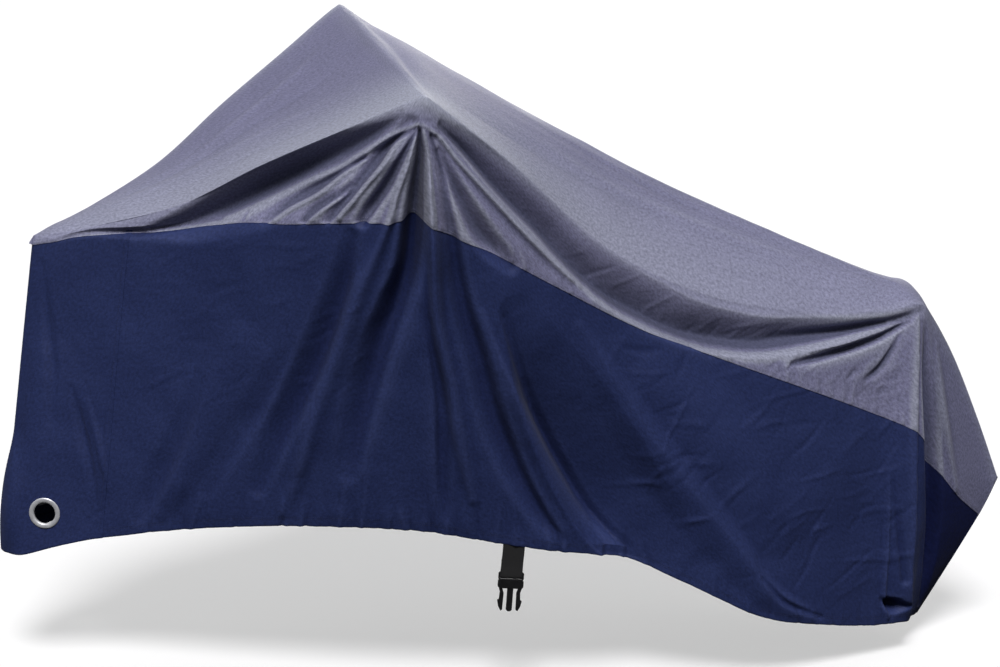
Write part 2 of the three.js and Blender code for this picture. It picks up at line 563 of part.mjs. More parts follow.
// A point of the strap on the inner face of the cloth
function sewnPoint(side, u, v, depth) {
  const { outer, inward } = wall(side, u, v);
  return outer.add(inward).addScaledVector(inward.clone().normalize(), depth);
}

// A flat outline given a thickness around y = 0, from points (x, z)
function plate(points, thick, holes = []) {
  const shape = new THREE.Shape(points.map(([x, z]) => new THREE.Vector2(x, z)));
  shape.holes = holes.map((hole) => new THREE.Path(hole.map(([x, z]) => new THREE.Vector2(x, z))));
  const geometry = new THREE.ExtrudeGeometry(shape, { depth: thick, bevelEnabled: false });
  return geometry.translate(0, 0, -thick / 2).rotateX(Math.PI / 2);
}

// An upright rectangle with cut corners, as points (x, z)
function cutRectangle(half, low, high, cut) {
  return [
    [-half + cut, low],
    [half - cut, low],
    [half, low + cut],
    [half, high - cut],
    [half - cut, high],
    [-half + cut, high],
    [-half, high - cut],
    [-half, low + cut],
  ];
}

// The bar and side legs that hold the strap, thinner than the body below them
function strapFrame() {
  const half = BUCKLE.width / 2;
  const high = BUCKLE.bar / 2;
  const slotLow = -high - BUCKLE.slot;
  const slot = cutRectangle(STRAP.width / 2 + 1, slotLow, -high, GAP);
  const outline = cutRectangle(half, slotLow - 2 * BUCKLE.overlap, high, BUCKLE.cut);
  return solidOf(plate(outline, BUCKLE.barThick, [slot.toReversed()]));
}

const BODY_TOP = -BUCKLE.bar / 2 - BUCKLE.slot - BUCKLE.overlap;

// The plug half: a body, a guide in the middle and two springy arms with catches
function buckleHalfPlug(side) {
  const bodyLow = BODY_TOP - PLUG.body;
  const tip = BUCKLE.bar / 2 - PLUG.long;
  const body = plate(cutRectangle(BUCKLE.width / 2, bodyLow, BODY_TOP, BUCKLE.cut), BUCKLE.thick);
  const guide = plate(
    cutRectangle(PLUG.guide, tip, bodyLow + BUCKLE.overlap, BUCKLE.cut),
    PLUG.guideThick,
  );
  const arm = (sign) => {
    const points = PLUG_ARM.map(({ x, from, z }) => [sign * x, z + (from === "body" ? bodyLow : tip)]);
    return plate(points, PLUG.armThick);
  };
  const pieces = [body, guide, arm(-1), arm(1)];
  const whole = pieces.reduce((sum, piece) => sum.add(solidOf(piece)), strapFrame());
  return geometryOf(whole).applyMatrix4(buckleMatrix(side));
}

// The socket half: a flat housing that is open below, with a window in each side
function buckleHalfSocket(side) {
  const half = BUCKLE.width / 2 + SOCKET.extra;
  const low = BODY_TOP - SOCKET.long;
  const housing = plate(cutRectangle(half, low, BODY_TOP, BUCKLE.cut), SOCKET.thick);
  const mouth = plate(
    cutRectangle(half - SOCKET.wall, low - SOCKET.roof, BODY_TOP - SOCKET.roof, 1),
    BUCKLE.thick,
  );
  const windows = plate(
    cutRectangle(half + SOCKET.wall, low + SOCKET.windowLow, low + SOCKET.windowHigh, 2),
    BUCKLE.thick,
  );
  const whole = strapFrame().add(solidOf(housing)).subtract(solidOf(mouth)).subtract(solidOf(windows));
  return geometryOf(whole).applyMatrix4(buckleMatrix(side));
}

// Looks
const GREY_CLOTH = { color: 0x8a8aa6, roughness: 0.62, metalness: 0 };
const NAVY_CLOTH = { color: 0x232c54, roughness: 0.6, metalness: 0 };
const BRIGHT_METAL = { color: 0xd6d7da, roughness: 0.3, metalness: 1 };
const BLACK_WEBBING = { color: 0x0c0c0d, roughness: 0.85, metalness: 0 };
const BLACK_PLASTIC = { color: 0x080808, roughness: 0.4, metalness: 0 };

const cover = new THREE.Group();

function addPiece(name, geometry, look) {
  const mesh = new THREE.Mesh(geometry, new THREE.MeshStandardMaterial(look));
  mesh.name = name;
  cover.add(mesh);
}

addPiece("top_panel", panel(UPPER, columns(0, LAST)), GREY_CLOTH);
addPiece("skirt_left", panel(LEFT_SKIRT, columns(NOSE_STRIP_END, LAST)), NAVY_CLOTH);
addPiece("skirt_right", panel(RIGHT_SKIRT, columns(NOSE_STRIP_END, LAST)), NAVY_CLOTH);
addPiece("nose_strip", noseStrip(), NAVY_CLOTH);
addPiece("eyelet_left", eyeletRing(LEFT), BRIGHT_METAL);
addPiece("eyelet_right", eyeletRing(RIGHT), BRIGHT_METAL);
addPiece("strap_left", strap(LEFT), BLACK_WEBBING);
addPiece("strap_right", strap(RIGHT), BLACK_WEBBING);
addPiece("buckle_plug", buckleHalfPlug(LEFT), BLACK_PLASTIC);
addPiece("buckle_socket", buckleHalfSocket(RIGHT), BLACK_PLASTIC);

export default cover;
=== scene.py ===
# A fitted cloth cover as it hangs: grey above and navy below, with eyelets, webbing straps and a buckle.
# Sizes in the tables are millimetres in the frame of the solids; meshes are made in metres.

import math

import bpy
import numpy as np
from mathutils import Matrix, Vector


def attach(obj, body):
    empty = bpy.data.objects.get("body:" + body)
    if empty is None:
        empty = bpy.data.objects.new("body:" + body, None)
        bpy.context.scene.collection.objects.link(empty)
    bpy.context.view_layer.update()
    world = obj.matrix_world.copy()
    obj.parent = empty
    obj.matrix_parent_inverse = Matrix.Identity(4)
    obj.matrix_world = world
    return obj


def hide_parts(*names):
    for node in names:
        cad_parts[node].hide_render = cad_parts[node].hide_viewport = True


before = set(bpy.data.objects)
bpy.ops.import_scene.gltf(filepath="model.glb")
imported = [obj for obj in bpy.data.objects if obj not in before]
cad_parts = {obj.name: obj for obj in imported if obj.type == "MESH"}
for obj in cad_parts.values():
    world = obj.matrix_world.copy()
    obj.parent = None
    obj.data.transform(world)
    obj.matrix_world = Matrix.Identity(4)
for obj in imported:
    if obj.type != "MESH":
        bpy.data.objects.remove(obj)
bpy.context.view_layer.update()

MM = 0.001
LEFT = -1
RIGHT = 1

# Driving sizes, the same as in the solids
SHEET = 2.4
PEAK_HALF = 460
PEAK_TURN = 80
TAIL_CORNER_X = 1290
LEAN = 0.1
TIP_HALF = 0.2
CROWN_POWER = 1.8
FOLD_ROOM = (4, 60)
NOSE_STRIP_END = 2.5
NOSE_BULGE = 0.17
EYELET_U = 1.6
EYELET_V = 1.88
EYELET_FLAT = 62
EYELET_FADE = 200
STRAP_U = 9.5
STRAP_WIDTH = 50
STRAP_THICK = 2

# Lines down the side from the nose to the tail: edge, seam and hem as x, half width and z, then the crown.
# A place on the wall has a u, the number of its line, and a v: 0 at the edge, 1 on the seam, 2 at the hem.
LINES = np.array([
    [-820, 9, -436, -824, 11, -447, -928, 8, -1208, 0],
    [-775, 32, -420, -782, 40, -432, -886, 58, -1200, 4],
    [-700, 68, -397, -711, 73, -410, -800, 80, -1172, 8],
    [-505, 177, -315, -530, 180, -373, -617, 145, -1118, 12],
    [-335, 272, -200, -395, 275, -327, -484, 212, -1082, -10],
    [-170, 364, -98, -285, 352, -305, -351, 262, -1059, -12],
    [-62, 425, -30, -184, 412, -286, -220, 302, -1046, -5],
    [-17, 450, -4, -91, 445, -277, -96, 328, -1042, 0],
    [0, PEAK_HALF, 0, -20, 455, -271, 17, 342, -1049, 0],
    [22, 455, -15, 54, 455, -306, 150, 348, -1070, 12],
    [83, 438, -62, 176, 440, -363, 321, 350, -1099, 45],
    [235, 395, -184, 329, 405, -449, 497, 345, -1128, 85],
    [457, 333, -381, 535, 355, -563, 677, 325, -1207, 160],
    [700, 264, -516, 732, 305, -651, 863, 295, -1304, 163],
    [946, 192, -590, 959, 245, -750, 1028, 240, -1355, 127],
    [1184, 122, -620, 1156, 165, -847, 1174, 170, -1395, 56],
    [1290, 90, -615, 1292, 110, -924, 1271, 120, -1411, 10],
    [1337, 60, -675, 1347, 75, -1020, 1295, 75, -1424, 10],
    [1400, 35, -785, 1408, 45, -1106, 1312, 45, -1431, 8],
    [1469, 17, -945, 1452, 20, -1152, 1325, 20, -1440, 4],
    [1526, 5, -1094, 1486, 0, -1184, 1336, 0, -1444, 1],
], dtype=float)
LAST = len(LINES) - 1

# Broad hollows and swells of the left wall, seen from the side. Each row of this table and of the next ones
# has a sharpness: 0 for a soft fold, up to 1 for a narrow crease, down to -1 for a crease with flat sides.
# Then comes a skew, which where it is positive makes the flank on the left of the path steeper, and then the
# points of the crest, as x, z, half width and height, negative for a trough.
LEFT_HOLLOWS = [
    # Where the wall lies back under the peak, in front and behind
    (0.0, 0.0, [(-35, -60, 24, -10), (-120, -125, 50, -26), (-225, -200, 66, -32), (-320, -260, 64, -32),
                (-415, -320, 50, -26), (-490, -365, 36, -18), (-545, -380, 26, -6)]),
    (0.0, 0.0, [(30, -90, 24, -5), (110, -165, 44, -12), (220, -275, 54, -14), (320, -370, 54, -12),
                (415, -455, 40, -6)]),
    # The wide dark facet between the narrow band and the long diagonal
    (-0.8, -0.6, [(200, -520, 50, -9), (260, -690, 96, -41), (315, -820, 116, -66), (375, -935, 124, -79),
                  (440, -1040, 122, -72), (535, -1125, 112, -34), (640, -1195, 64, -8)]),
    # Where the cloth stands full, towards the tail and towards the nose
    (0.0, 0.0, [(585, -695, 90, 6), (740, -850, 120, 14), (905, -1065, 110, 10)]),
    (0.0, 0.0, [(-390, -600, 50, 4), (-465, -805, 50, 10), (-525, -965, 44, 12), (-570, -1060, 26, 4)]),
]

# Folds of the left wall
LEFT_FOLDS = [
    # The trough under the front edge and the fan below the peak
    (-0.3, 0.25, [(-55, -45, 14, -6), (-100, -85, 24, -20), (-180, -145, 36, -42), (-255, -195, 42, -57),
                  (-335, -250, 42, -64), (-415, -305, 38, -60), (-480, -345, 30, -46), (-525, -365, 22, -26),
                  (-570, -380, 14, -8)]),
    (0.2, 0.0, [(-770, -430, 6, -2), (-700, -408, 10, -12), (-620, -395, 14, -18), (-560, -383, 16, -18),
                (-500, -368, 14, -10), (-440, -345, 10, -2)]),
    (0.8, 0.0, [(-20, -60, 7, 5), (-100, -110, 10, 12), (-190, -180, 12, 17), (-275, -235, 13, 18),
                (-360, -290, 12, 15), (-430, -335, 9, 7)]),
    (0.0, 0.55, [(-135, -150, 8, -6), (-190, -190, 14, -18), (-245, -240, 20, -24), (-300, -280, 22, -18),
                 (-335, -315, 20, -8)]),
    (0.8, 0.0, [(-135, -155, 6, 3), (-175, -185, 9, 10), (-225, -235, 10, 14), (-285, -280, 10, 13),
                (-315, -310, 9, 7)]),
    (0.0, 0.5, [(-165, -210, 7, -4), (-195, -240, 12, -12), (-235, -275, 13, -13), (-255, -300, 12, -7)]),
    (0.7, 0.0, [(-155, -215, 5, 2), (-185, -240, 7, 7), (-220, -270, 7, 7), (-240, -295, 6, 4)]),
    (0.0, 0.5, [(-25, -70, 6, -5), (-75, -110, 12, -18), (-110, -160, 18, -28), (-150, -215, 19, -28),
                (-180, -255, 16, -20), (-205, -290, 13, -10)]),
    (0.8, 0.0, [(-20, -60, 6, 4), (-60, -100, 9, 10), (-90, -150, 11, 15), (-135, -205, 12, 17),
                (-160, -245, 12, 14), (-185, -280, 11, 8)]),
    (0.0, 0.3, [(-25, -80, 6, -6), (-55, -140, 12, -20), (-85, -200, 18, -30), (-115, -250, 20, -30),
                (-135, -285, 19, -20)]),
    # The deep valley under the peak and the ridges beside it, which run on down the navy panel
    (0.6, 0.0, [(-25, -85, 5, 4), (-45, -155, 9, 13), (-65, -210, 12, 18), (-80, -270, 15, 19),
                (-105, -345, 22, 15), (-145, -455, 30, 16), (-190, -615, 34, 14), (-235, -770, 36, 10),
                (-265, -900, 30, 3)]),
    (0.0, 0.35, [(-15, -75, 8, -11), (-10, -135, 18, -38), (-15, -210, 26, -58), (-20, -295, 32, -69),
                 (-30, -395, 36, -64), (-55, -485, 44, -52), (-85, -575, 48, -42), (-115, -695, 48, -31),
                 (-135, -795, 44, -20), (-150, -900, 34, -6)]),
    (0.4, -0.4, [(-10, -75, 6, 5), (-5, -145, 12, 16), (0, -220, 17, 26), (5, -280, 20, 30),
                 (10, -365, 24, 34), (25, -530, 26, 28), (60, -680, 26, 22), (90, -830, 26, 16),
                 (125, -965, 22, 6)]),
    (0.0, -0.2, [(10, -515, 14, -3), (30, -625, 22, -11), (45, -715, 25, -15), (50, -820, 25, -15),
                 (55, -920, 22, -10), (65, -1010, 16, -3)]),
    (0.0, 0.4, [(10, -85, 7, -5), (40, -180, 16, -14), (60, -285, 24, -20), (95, -465, 32, -26),
                (145, -625, 38, -28), (175, -735, 40, -28), (210, -825, 40, -26), (255, -925, 36, -22),
                (310, -1020, 28, -14), (350, -1070, 20, -4)]),
    # Behind the peak: a ridge, and under the edge a wall that slopes inwards all the way to the tail
    (0.8, 0.0, [(-10, -60, 7, 4), (30, -90, 9, 11), (75, -145, 11, 17), (150, -225, 13, 20),
                (235, -315, 14, 20), (320, -400, 14, 15), (380, -455, 12, 5)]),
    (0.0, 0.0, [(30, -120, 12, -6), (80, -225, 28, -23), (140, -325, 36, -27), (205, -390, 28, -10)]),
    (-0.8, -0.55, [(35, -70, 16, -10), (105, -135, 30, -30), (200, -235, 38, -39), (290, -325, 43, -44),
                   (370, -410, 48, -50), (460, -490, 54, -62), (555, -550, 54, -68), (660, -605, 52, -68),
                   (770, -640, 48, -66), (880, -660, 42, -58), (1040, -665, 32, -36), (1200, -660, 14, -8)]),
    # The long diagonals of the navy panel
    (0.0, 0.3, [(-155, -320, 24, -6), (-180, -455, 36, -23), (-225, -610, 42, -29), (-270, -735, 42, -25),
                (-310, -840, 38, -17), (-350, -965, 30, -6)]),
    (0.5, 0.4, [(140, -500, 18, 3), (185, -620, 32, 13), (230, -720, 38, 19), (280, -810, 40, 22),
                (340, -910, 40, 21), (410, -1020, 32, 15), (490, -1100, 20, 6)]),
    (0.0, -0.3, [(190, -520, 18, -3), (250, -690, 22, -9), (308, -818, 24, -13), (370, -932, 24, -13),
                 (440, -1040, 22, -9), (530, -1120, 16, -3)]),
    (0.3, 0.3, [(385, -550, 26, 3), (460, -670, 48, 11), (545, -800, 62, 18), (625, -910, 68, 20),
                (720, -1030, 66, 20), (800, -1130, 56, 18), (880, -1235, 42, 14), (1000, -1325, 28, 7)]),
    (0.1, 0.0, [(860, -1205, 8, -4), (930, -1280, 12, -10), (1035, -1340, 8, -4)]),
    # The tail corner, the pleat in front of it and the fin behind it
    (0.8, 0.0, [(1210, -1005, 6, 2), (1210, -1180, 9, 8), (1210, -1335, 10, 10), (1225, -1390, 8, 6)]),
    (0.1, -0.3, [(1220, -1035, 8, -2), (1240, -1190, 12, -7), (1255, -1295, 14, -8)]),
    (0.2, 0.0, [(1205, -1335, 10, -5), (1240, -1360, 24, -42), (1275, -1370, 10, -8)]),
    (0.85, 0.78, [(1286, -625, 20, 2), (1283, -700, 42, 15), (1279, -790, 54, 27), (1274, -935, 58, 34),
                  (1276, -1140, 58, 36), (1275, -1315, 44, 28), (1290, -1410, 20, 8)]),
    (0.0, 0.0, [(1305, -655, 8, 0), (1313, -730, 16, -12), (1328, -870, 24, -32), (1342, -1030, 26, -42),
                (1352, -1215, 24, -40), (1340, -1410, 14, -16)]),
    (0.3, 0.0, [(1340, -725, 10, 3), (1360, -865, 16, 10), (1385, -995, 16, 10), (1410, -1105, 14, 5)]),
    (0.0, 0.5, [(1300, -630, 8, -5), (1225, -650, 14, -15), (1110, -660, 18, -16), (980, -660, 18, -7),
                (880, -655, 14, 0)]),
    (0.6, 0.0, [(1200, -660, 8, 3), (1095, -675, 10, 10), (990, -680, 8, 4)]),
    (0.0, 0.5, [(1270, -650, 8, -5), (1170, -690, 14, -20), (1035, -705, 14, -18), (940, -705, 10, -5)]),
    (0.1, 0.0, [(1235, -685, 10, -3), (1190, -750, 16, -12), (1145, -775, 12, -4)]),
    # The slack front
    (0.1, 0.0, [(-810, -495, 14, -3), (-805, -655, 20, -9), (-800, -750, 20, -8), (-810, -870, 14, -2)]),
    (0.2, 0.3, [(-755, -780, 12, -2), (-740, -860, 17, -8), (-725, -950, 18, -9), (-710, -1065, 12, -3)]),
    (0.3, 0.0, [(-725, -805, 10, 2), (-705, -900, 13, 7), (-685, -1020, 10, 2)]),
    (0.0, 0.3, [(-470, -715, 22, -2), (-525, -875, 32, -9), (-570, -980, 34, -10), (-615, -1080, 26, -4)]),
    (0.0, 0.3, [(-285, -595, 26, -2), (-350, -745, 36, -9), (-400, -850, 36, -9), (-460, -985, 28, -3)]),
    (0.2, 0.0, [(-240, -750, 26, 2), (-265, -900, 26, 8), (-300, -1020, 18, 4)]),
    (0.5, 0.0, [(-745, -1080, 6, 2), (-730, -1095, 8, 5), (-705, -1110, 6, 2)]),
    (0.5, 0.0, [(-740, -1115, 5, -2), (-720, -1095, 7, -5), (-700, -1075, 5, -2)]),
]

# Folds of the right wall, fewer and plainer
RIGHT_FOLDS = [
    (0.0, 0.0, [(-45, -40, 14, -8), (-240, -160, 30, -36), (-400, -275, 30, -26), (-500, -340, 20, -6)]),
    (0.5, 0.0, [(-20, -70, 10, 4), (-190, -195, 26, 18), (-330, -310, 26, 10)]),
    (0.0, 0.0, [(-22, -76, 8, -4), (-125, -175, 24, -16), (-235, -290, 32, -14)]),
    (0.4, 0.0, [(-22, -76, 8, 4), (-90, -170, 22, 14), (-150, -280, 32, 18), (-175, -420, 36, 6)]),
    (0.0, 0.0, [(-20, -84, 12, -8), (-35, -270, 34, -36), (-70, -520, 44, -20), (-95, -700, 36, -4)]),
    (0.3, 0.0, [(-5, -76, 10, 6), (35, -290, 30, 22), (60, -600, 44, 12), (90, -800, 34, 3)]),
    (0.0, 0.0, [(44, -64, 14, -8), (230, -250, 32, -28), (455, -445, 34, -8)]),
    (0.1, 0.0, [(-120, -330, 30, 4), (-150, -600, 50, 18), (-230, -940, 44, 4)]),
    (0.0, 0.0, [(140, -420, 34, -4), (250, -720, 56, -24), (420, -1060, 48, -6)]),
    (0.1, 0.0, [(330, -520, 40, 4), (450, -800, 66, 22), (760, -1180, 50, 6)]),
    (0.6, 0.0, [(1289, -630, 14, 4), (1293, -924, 24, 12), (1276, -1370, 18, 6)]),
    (0.0, 0.0, [(1325, -700, 16, -6), (1332, -1015, 26, -16), (1312, -1370, 18, -8)]),
    (0.0, 0.0, [(-420, -520, 60, 3), (-470, -770, 80, 14), (-540, -1060, 50, 4)]),
    (0.0, 0.0, [(1150, -645, 14, -5), (950, -640, 22, -18), (700, -580, 20, -14), (560, -520, 14, -5)]),
    (0.2, 0.0, [(1240, -680, 12, -4), (1090, -740, 18, -12), (960, -760, 14, -4)]),
    (0.3, 0.0, [(560, -760, 20, 4), (700, -940, 34, 14), (860, -1200, 26, 5)]),
    (0.2, 0.0, [(-600, -640, 24, -3), (-640, -840, 36, -9), (-690, -1040, 24, -3)]),
]

# Long shallow folds of the top, seen from above: sharpness, skew, then points as x, y, half width and height
TOP_FOLDS = [
    (0.5, 0.0, [(10, -420, 14, 2), (0, -200, 26, 7), (0, 0, 30, 8), (0, 200, 26, 7), (10, 420, 14, 2)]),
    (0.2, 0.0, [(-60, -330, 12, 1), (-240, -200, 20, -4), (-430, -110, 16, -3), (-600, -60, 10, -1)]),
    (0.3, 0.0, [(-40, -180, 12, 1), (-200, -90, 20, 4), (-420, -30, 18, 4), (-640, -10, 10, 1)]),
    (0.2, 0.0, [(-50, 40, 14, -1), (-230, 30, 22, -5), (-430, 20, 18, -3), (-620, 10, 10, -1)]),
    (0.2, 0.0, [(-50, 260, 14, 1), (-210, 160, 22, 5), (-400, 80, 18, 3), (-600, 40, 10, 1)]),
    (0.2, 0.0, [(90, -300, 16, -1), (320, -230, 22, -5), (620, -150, 20, -5), (960, -90, 12, -2)]),
    (0.3, 0.0, [(140, -200, 14, 1), (420, -160, 18, 4), (760, -100, 16, 5), (1180, -50, 10, 2)]),
    (0.2, 0.0, [(160, -80, 16, -1), (500, -70, 20, -4), (860, -50, 16, -4), (1240, -30, 8, -2)]),
    (0.3, 0.0, [(240, 20, 14, 1), (560, 10, 18, 4), (900, 0, 14, 4), (1250, -15, 8, 2)]),
    (0.2, 0.0, [(180, 140, 16, -1), (480, 100, 20, -4), (820, 60, 16, -4), (1220, 20, 8, -2)]),
    (0.3, 0.0, [(120, 260, 16, 1), (400, 210, 20, 5), (760, 130, 16, 4), (1120, 70, 10, 2)]),
    (0.5, 0.0, [(700, -205, 8, 1), (860, -150, 10, 3), (1060, -110, 8, 2), (1250, -75, 6, 1)]),
    (0.5, 0.0, [(560, -255, 8, -1), (760, -200, 11, -3), (980, -140, 9, -3), (1230, -82, 6, -1)]),
]

# Seeded small folds: gathers along each hem and puckers along the seam, as the range of u, how far apart
# they are, the ranges of length and half width, the height and the seed
GATHERS = {
    LEFT: [
        ((3.2, 5.4), 30, (90, 210), (8, 13), 3.2, 11),
        ((5.4, 9.0), 24, (70, 190), (7, 11), 4.2, 12),
        ((9.0, 11.4), 30, (60, 150), (8, 12), 3.6, 13),
        ((11.4, 15.6), 46, (40, 110), (8, 13), 2.4, 14),
    ],
    RIGHT: [
        ((3.2, 6.4), 34, (80, 200), (9, 14), 3.4, 21),
        ((6.4, 11.0), 30, (70, 180), (8, 12), 3.8, 22),
        ((11.0, 15.6), 48, (40, 110), (9, 14), 2.4, 23),
    ],
}
PUCKERS = [
    ((4.0, 9.0), 22, (22, 50), (4, 7), 2.6, 31),
    ((10.0, 16.0), 18, (34, 90), (6, 10), 1.7, 32),
    ((16.2, 19.2), 24, (20, 44), (4, 6), 1.6, 33),
]

# Seeded crinkles within fields of the wall, as the ranges of u and v, how many they are, the ranges of
# length and half width, the height, the slant and how far it varies in degrees, and the seed
CRINKLES = [
    ((11.4, 15.6), (1.05, 1.85), 70, (70, 200), (9, 17), 2.4, 25, 40, 41),
    ((3.0, 7.5), (1.05, 1.6), 34, (60, 160), (8, 14), 1.6, 25, 25, 42),
    ((11.2, 15.5), (0.4, 0.95), 48, (50, 140), (8, 14), 2.0, 30, 22, 43),
]

# How a gather or pucker varies: its place, height, bend and sharpness, and how these change along it
SMALL_FOLD_SHIFT = 0.45
SMALL_FOLD_HEIGHTS = (0.3, 1.2)
SMALL_FOLD_BEND = 0.12
SMALL_FOLD_SHARPNESS = (0.0, 0.5)
SMALL_FOLD_MIDDLE_WIDTH = 1.15
SMALL_FOLD_MIDDLE_HEIGHT = 0.6
SMALL_FOLD_END_WIDTH = 1.3
SMALL_FOLD_END_BEND = 1.6

# How a crinkle varies: its height, sag and sharpness, and the width of its ends
CRINKLE_HEIGHTS = (0.35, 1.0)
CRINKLE_SAG = 0.2
CRINKLE_SHARPNESS = (0.2, 0.7)
CRINKLE_END_WIDTH = 0.7

# Broad and fine unevenness of the cloth: the sizes of its swells and their heights, how far each is shifted,
# the cells of its noise, its seeds, and how much of it the top has
SWELLS = [(170, 3.0), (75, 1.3), (34, 0.45)]
SWELL_SHIFT = (31.7, -17.3)
NOISE_CELLS = 64
WALL_SEED = 50
TOP_SEED = 70
TOP_SWELLS = 0.7

# How finely a fold follows its path, how round the crest of a crease is, and how near the edges folds fade
# out, in v on a wall and as a share of the half width on the top
FOLD_STEPS = 7
CREASE_ROUND = 0.12
EDGE_RAMP = 0.04
TOP_RAMP = 0.12

# Values of v at the edge, the seam and the hem, and steps of u for directions and for lengths
EDGE = 0
SEAM = 1
HEM = 2
SMALL_STEP = 0.02
SPAN_POINTS = 200
SPACING_POINTS = 3000

# How far around a point the cloth is compared with it, as smoothing steps
CREST_SMOOTHING = 24

# How far folds of the top count as proud or deep, and where the top is painted with highlight: how much far
# along an edge and at a peak, how far from the edge in millimetres, and how far from the peak in lines
TOP_DEPTH = 0.35
PEAK_U = 8
EDGE_HIGHLIGHT = (0.3, 1.0)
HIGHLIGHT_REACH = 32
HIGHLIGHT_SPAN = 2.2

# How much painted light brightens the top next to its left edge, how far from the edge, and how far from the
# peak to the front and to the back, in lines
PAINTED_SIDE_LIGHT = 0.95
PAINTED_SIDE_LIGHT_REACH = 210
PAINTED_SIDE_LIGHT_SPAN = (7.5, 5.6)

# Where the painted shade on the tail fin begins, and where it is darkest, in metres
TAIL_SHADE = (1.3, 1.345)

# Grids of the sheets: how far apart their columns are, and their rows
SPACING = 4.2
RIGHT_SKIRT_SPACING = 6.0
LEFT_WALL_ROWS = 50
RIGHT_WALL_ROWS = 30
TOP_ROWS = 64
LEFT_SKIRT_ROWS = 126
RIGHT_SKIRT_ROWS = 96
STRIP_ROWS = 150
STRIP_NOSE_COLUMNS = 9

# The edges of the top: rows on each side that are softened, and how often
EDGE_ROWS = 5
EDGE_SMOOTHING = 2

# The rounded front of the top and the closed tip of the tail
NOSE_ROUND = 9
NOSE_ANGLES = (90, 68, 45, 22)
TIP_ROUND = 1.5

# The hem: radius of its turn, its height inside, and the angles of the turn
HEM_ROLL = 1.6
HEM_TURN = 24
HEM_ANGLES = (60, 120, 180)

# The seam: how far the panels overlap, how far the upper one stands out and the lower one lies in, and
# between which v each of these changes
LAP = 7
LAP_RISE = 1.5
LAP_SPAN = (0.9, 1.0)
TUCK = 2.2
TUCK_SPAN = (0.97, 1.02)

# The nose strip: its overlap with the skirts and where it stands out over them, both in u, and its holes
STRIP_OVERLAP = 0.05
STRIP_RISE_SPAN = 0.06
HOLE_RADIUS = 29.5
HOLE_DEPTH = 25


def smoothstep(value, low, high):
    part = np.clip((value - low) / (high - low), 0, 1)
    return part * part * (3 - 2 * part)


def unit(vector):
    return vector / np.linalg.norm(vector, axis=-1, keepdims=True)


def hermite(at, to, leave, arrive, part):
    square = part * part
    cube = square * part
    return (
        (2 * cube - 3 * square + 1) * at
        + (cube - 2 * square + part) * leave
        + (3 * square - 2 * cube) * to
        + (cube - square) * arrive
    )


def catmull_rom(rows, place):
    """Values of the rows at fractional row numbers, on a smooth curve through them"""
    rows = np.asarray(rows, dtype=float)
    last = len(rows) - 1
    place = np.clip(np.asarray(place, dtype=float), 0, last)
    first = np.minimum(place.astype(int), last - 1)
    part = (place - first)[..., None]
    at = rows[first]
    to = rows[first + 1]
    before = np.where((first == 0)[..., None], 2 * at - to, rows[np.maximum(first - 1, 0)])
    after = np.where((first + 2 > last)[..., None], 2 * to - at, rows[np.minimum(first + 2, last)])
    return hermite(at, to, (to - before) / 2, (after - at) / 2, part)


def edge_seam_hem(u):
    """Points of the edge, the seam and the hem, as x, half width and z"""
    line = catmull_rom(LINES, u)
    return line[..., 0:3], line[..., 3:6], line[..., 6:9]


def plain_wall(u, v):
    """The wall without folds, as x, half width and z"""
    edge, seam, hem = edge_seam_hem(u)
    upper = np.linalg.norm(seam - edge, axis=-1, keepdims=True)
    lower = np.linalg.norm(hem - seam, axis=-1, keepdims=True)
    overall = (hem - edge) / (upper + lower)
    leave = (1.5 * (seam - edge) / upper - 0.5 * overall) * upper
    arrive = (1.5 * (hem - seam) / lower - 0.5 * overall) * lower
    part = np.asarray(v, dtype=float)[..., None]
    above = hermite(edge, seam, leave, overall * upper, np.clip(part, 0, 1))
    below = hermite(seam, hem, overall * lower, arrive, np.clip(part - 1, 0, 1))
    point = np.where(part <= SEAM, above, below)
    point[..., 1] = np.maximum(point[..., 1], TIP_HALF)
    return point


def way_out(u, v):
    """The way out of the wall, level with the ground, as x and half width"""
    ahead = plain_wall(np.minimum(u + SMALL_STEP, LAST), v)
    run = ahead - plain_wall(np.maximum(u - SMALL_STEP, 0), v)
    out = np.stack([-run[..., 1], run[..., 0]], -1)
    return out / np.maximum(np.linalg.norm(out, axis=-1, keepdims=True), 1e-9)


def smooth_noise(x, y, size, seed):
    """Noise from -1 to 1 with swells of about the given size"""
    values = np.random.default_rng(seed).uniform(-1, 1, (NOISE_CELLS, NOISE_CELLS))
    column = np.floor(x / size).astype(int)
    row = np.floor(y / size).astype(int)
    across = x / size - column
    up = y / size - row
    across = across**3 * (across * (across * 6 - 15) + 10)
    up = up**3 * (up * (up * 6 - 15) + 10)

    def corner(right, above):
        return values[(column + right) % NOISE_CELLS, (row + above) % NOISE_CELLS]

    low = corner(0, 0) * (1 - across) + corner(1, 0) * across
    high = corner(0, 1) * (1 - across) + corner(1, 1) * across
    return low * (1 - up) + high * up


def swells(x, y, seed):
    total = 0
    for index, (size, height) in enumerate(SWELLS):
        shifted_x = x + SWELL_SHIFT[0] * size
        shifted_y = y + SWELL_SHIFT[1] * size
        total = total + height * smooth_noise(shifted_x, shifted_y, size, seed + index)
    return total


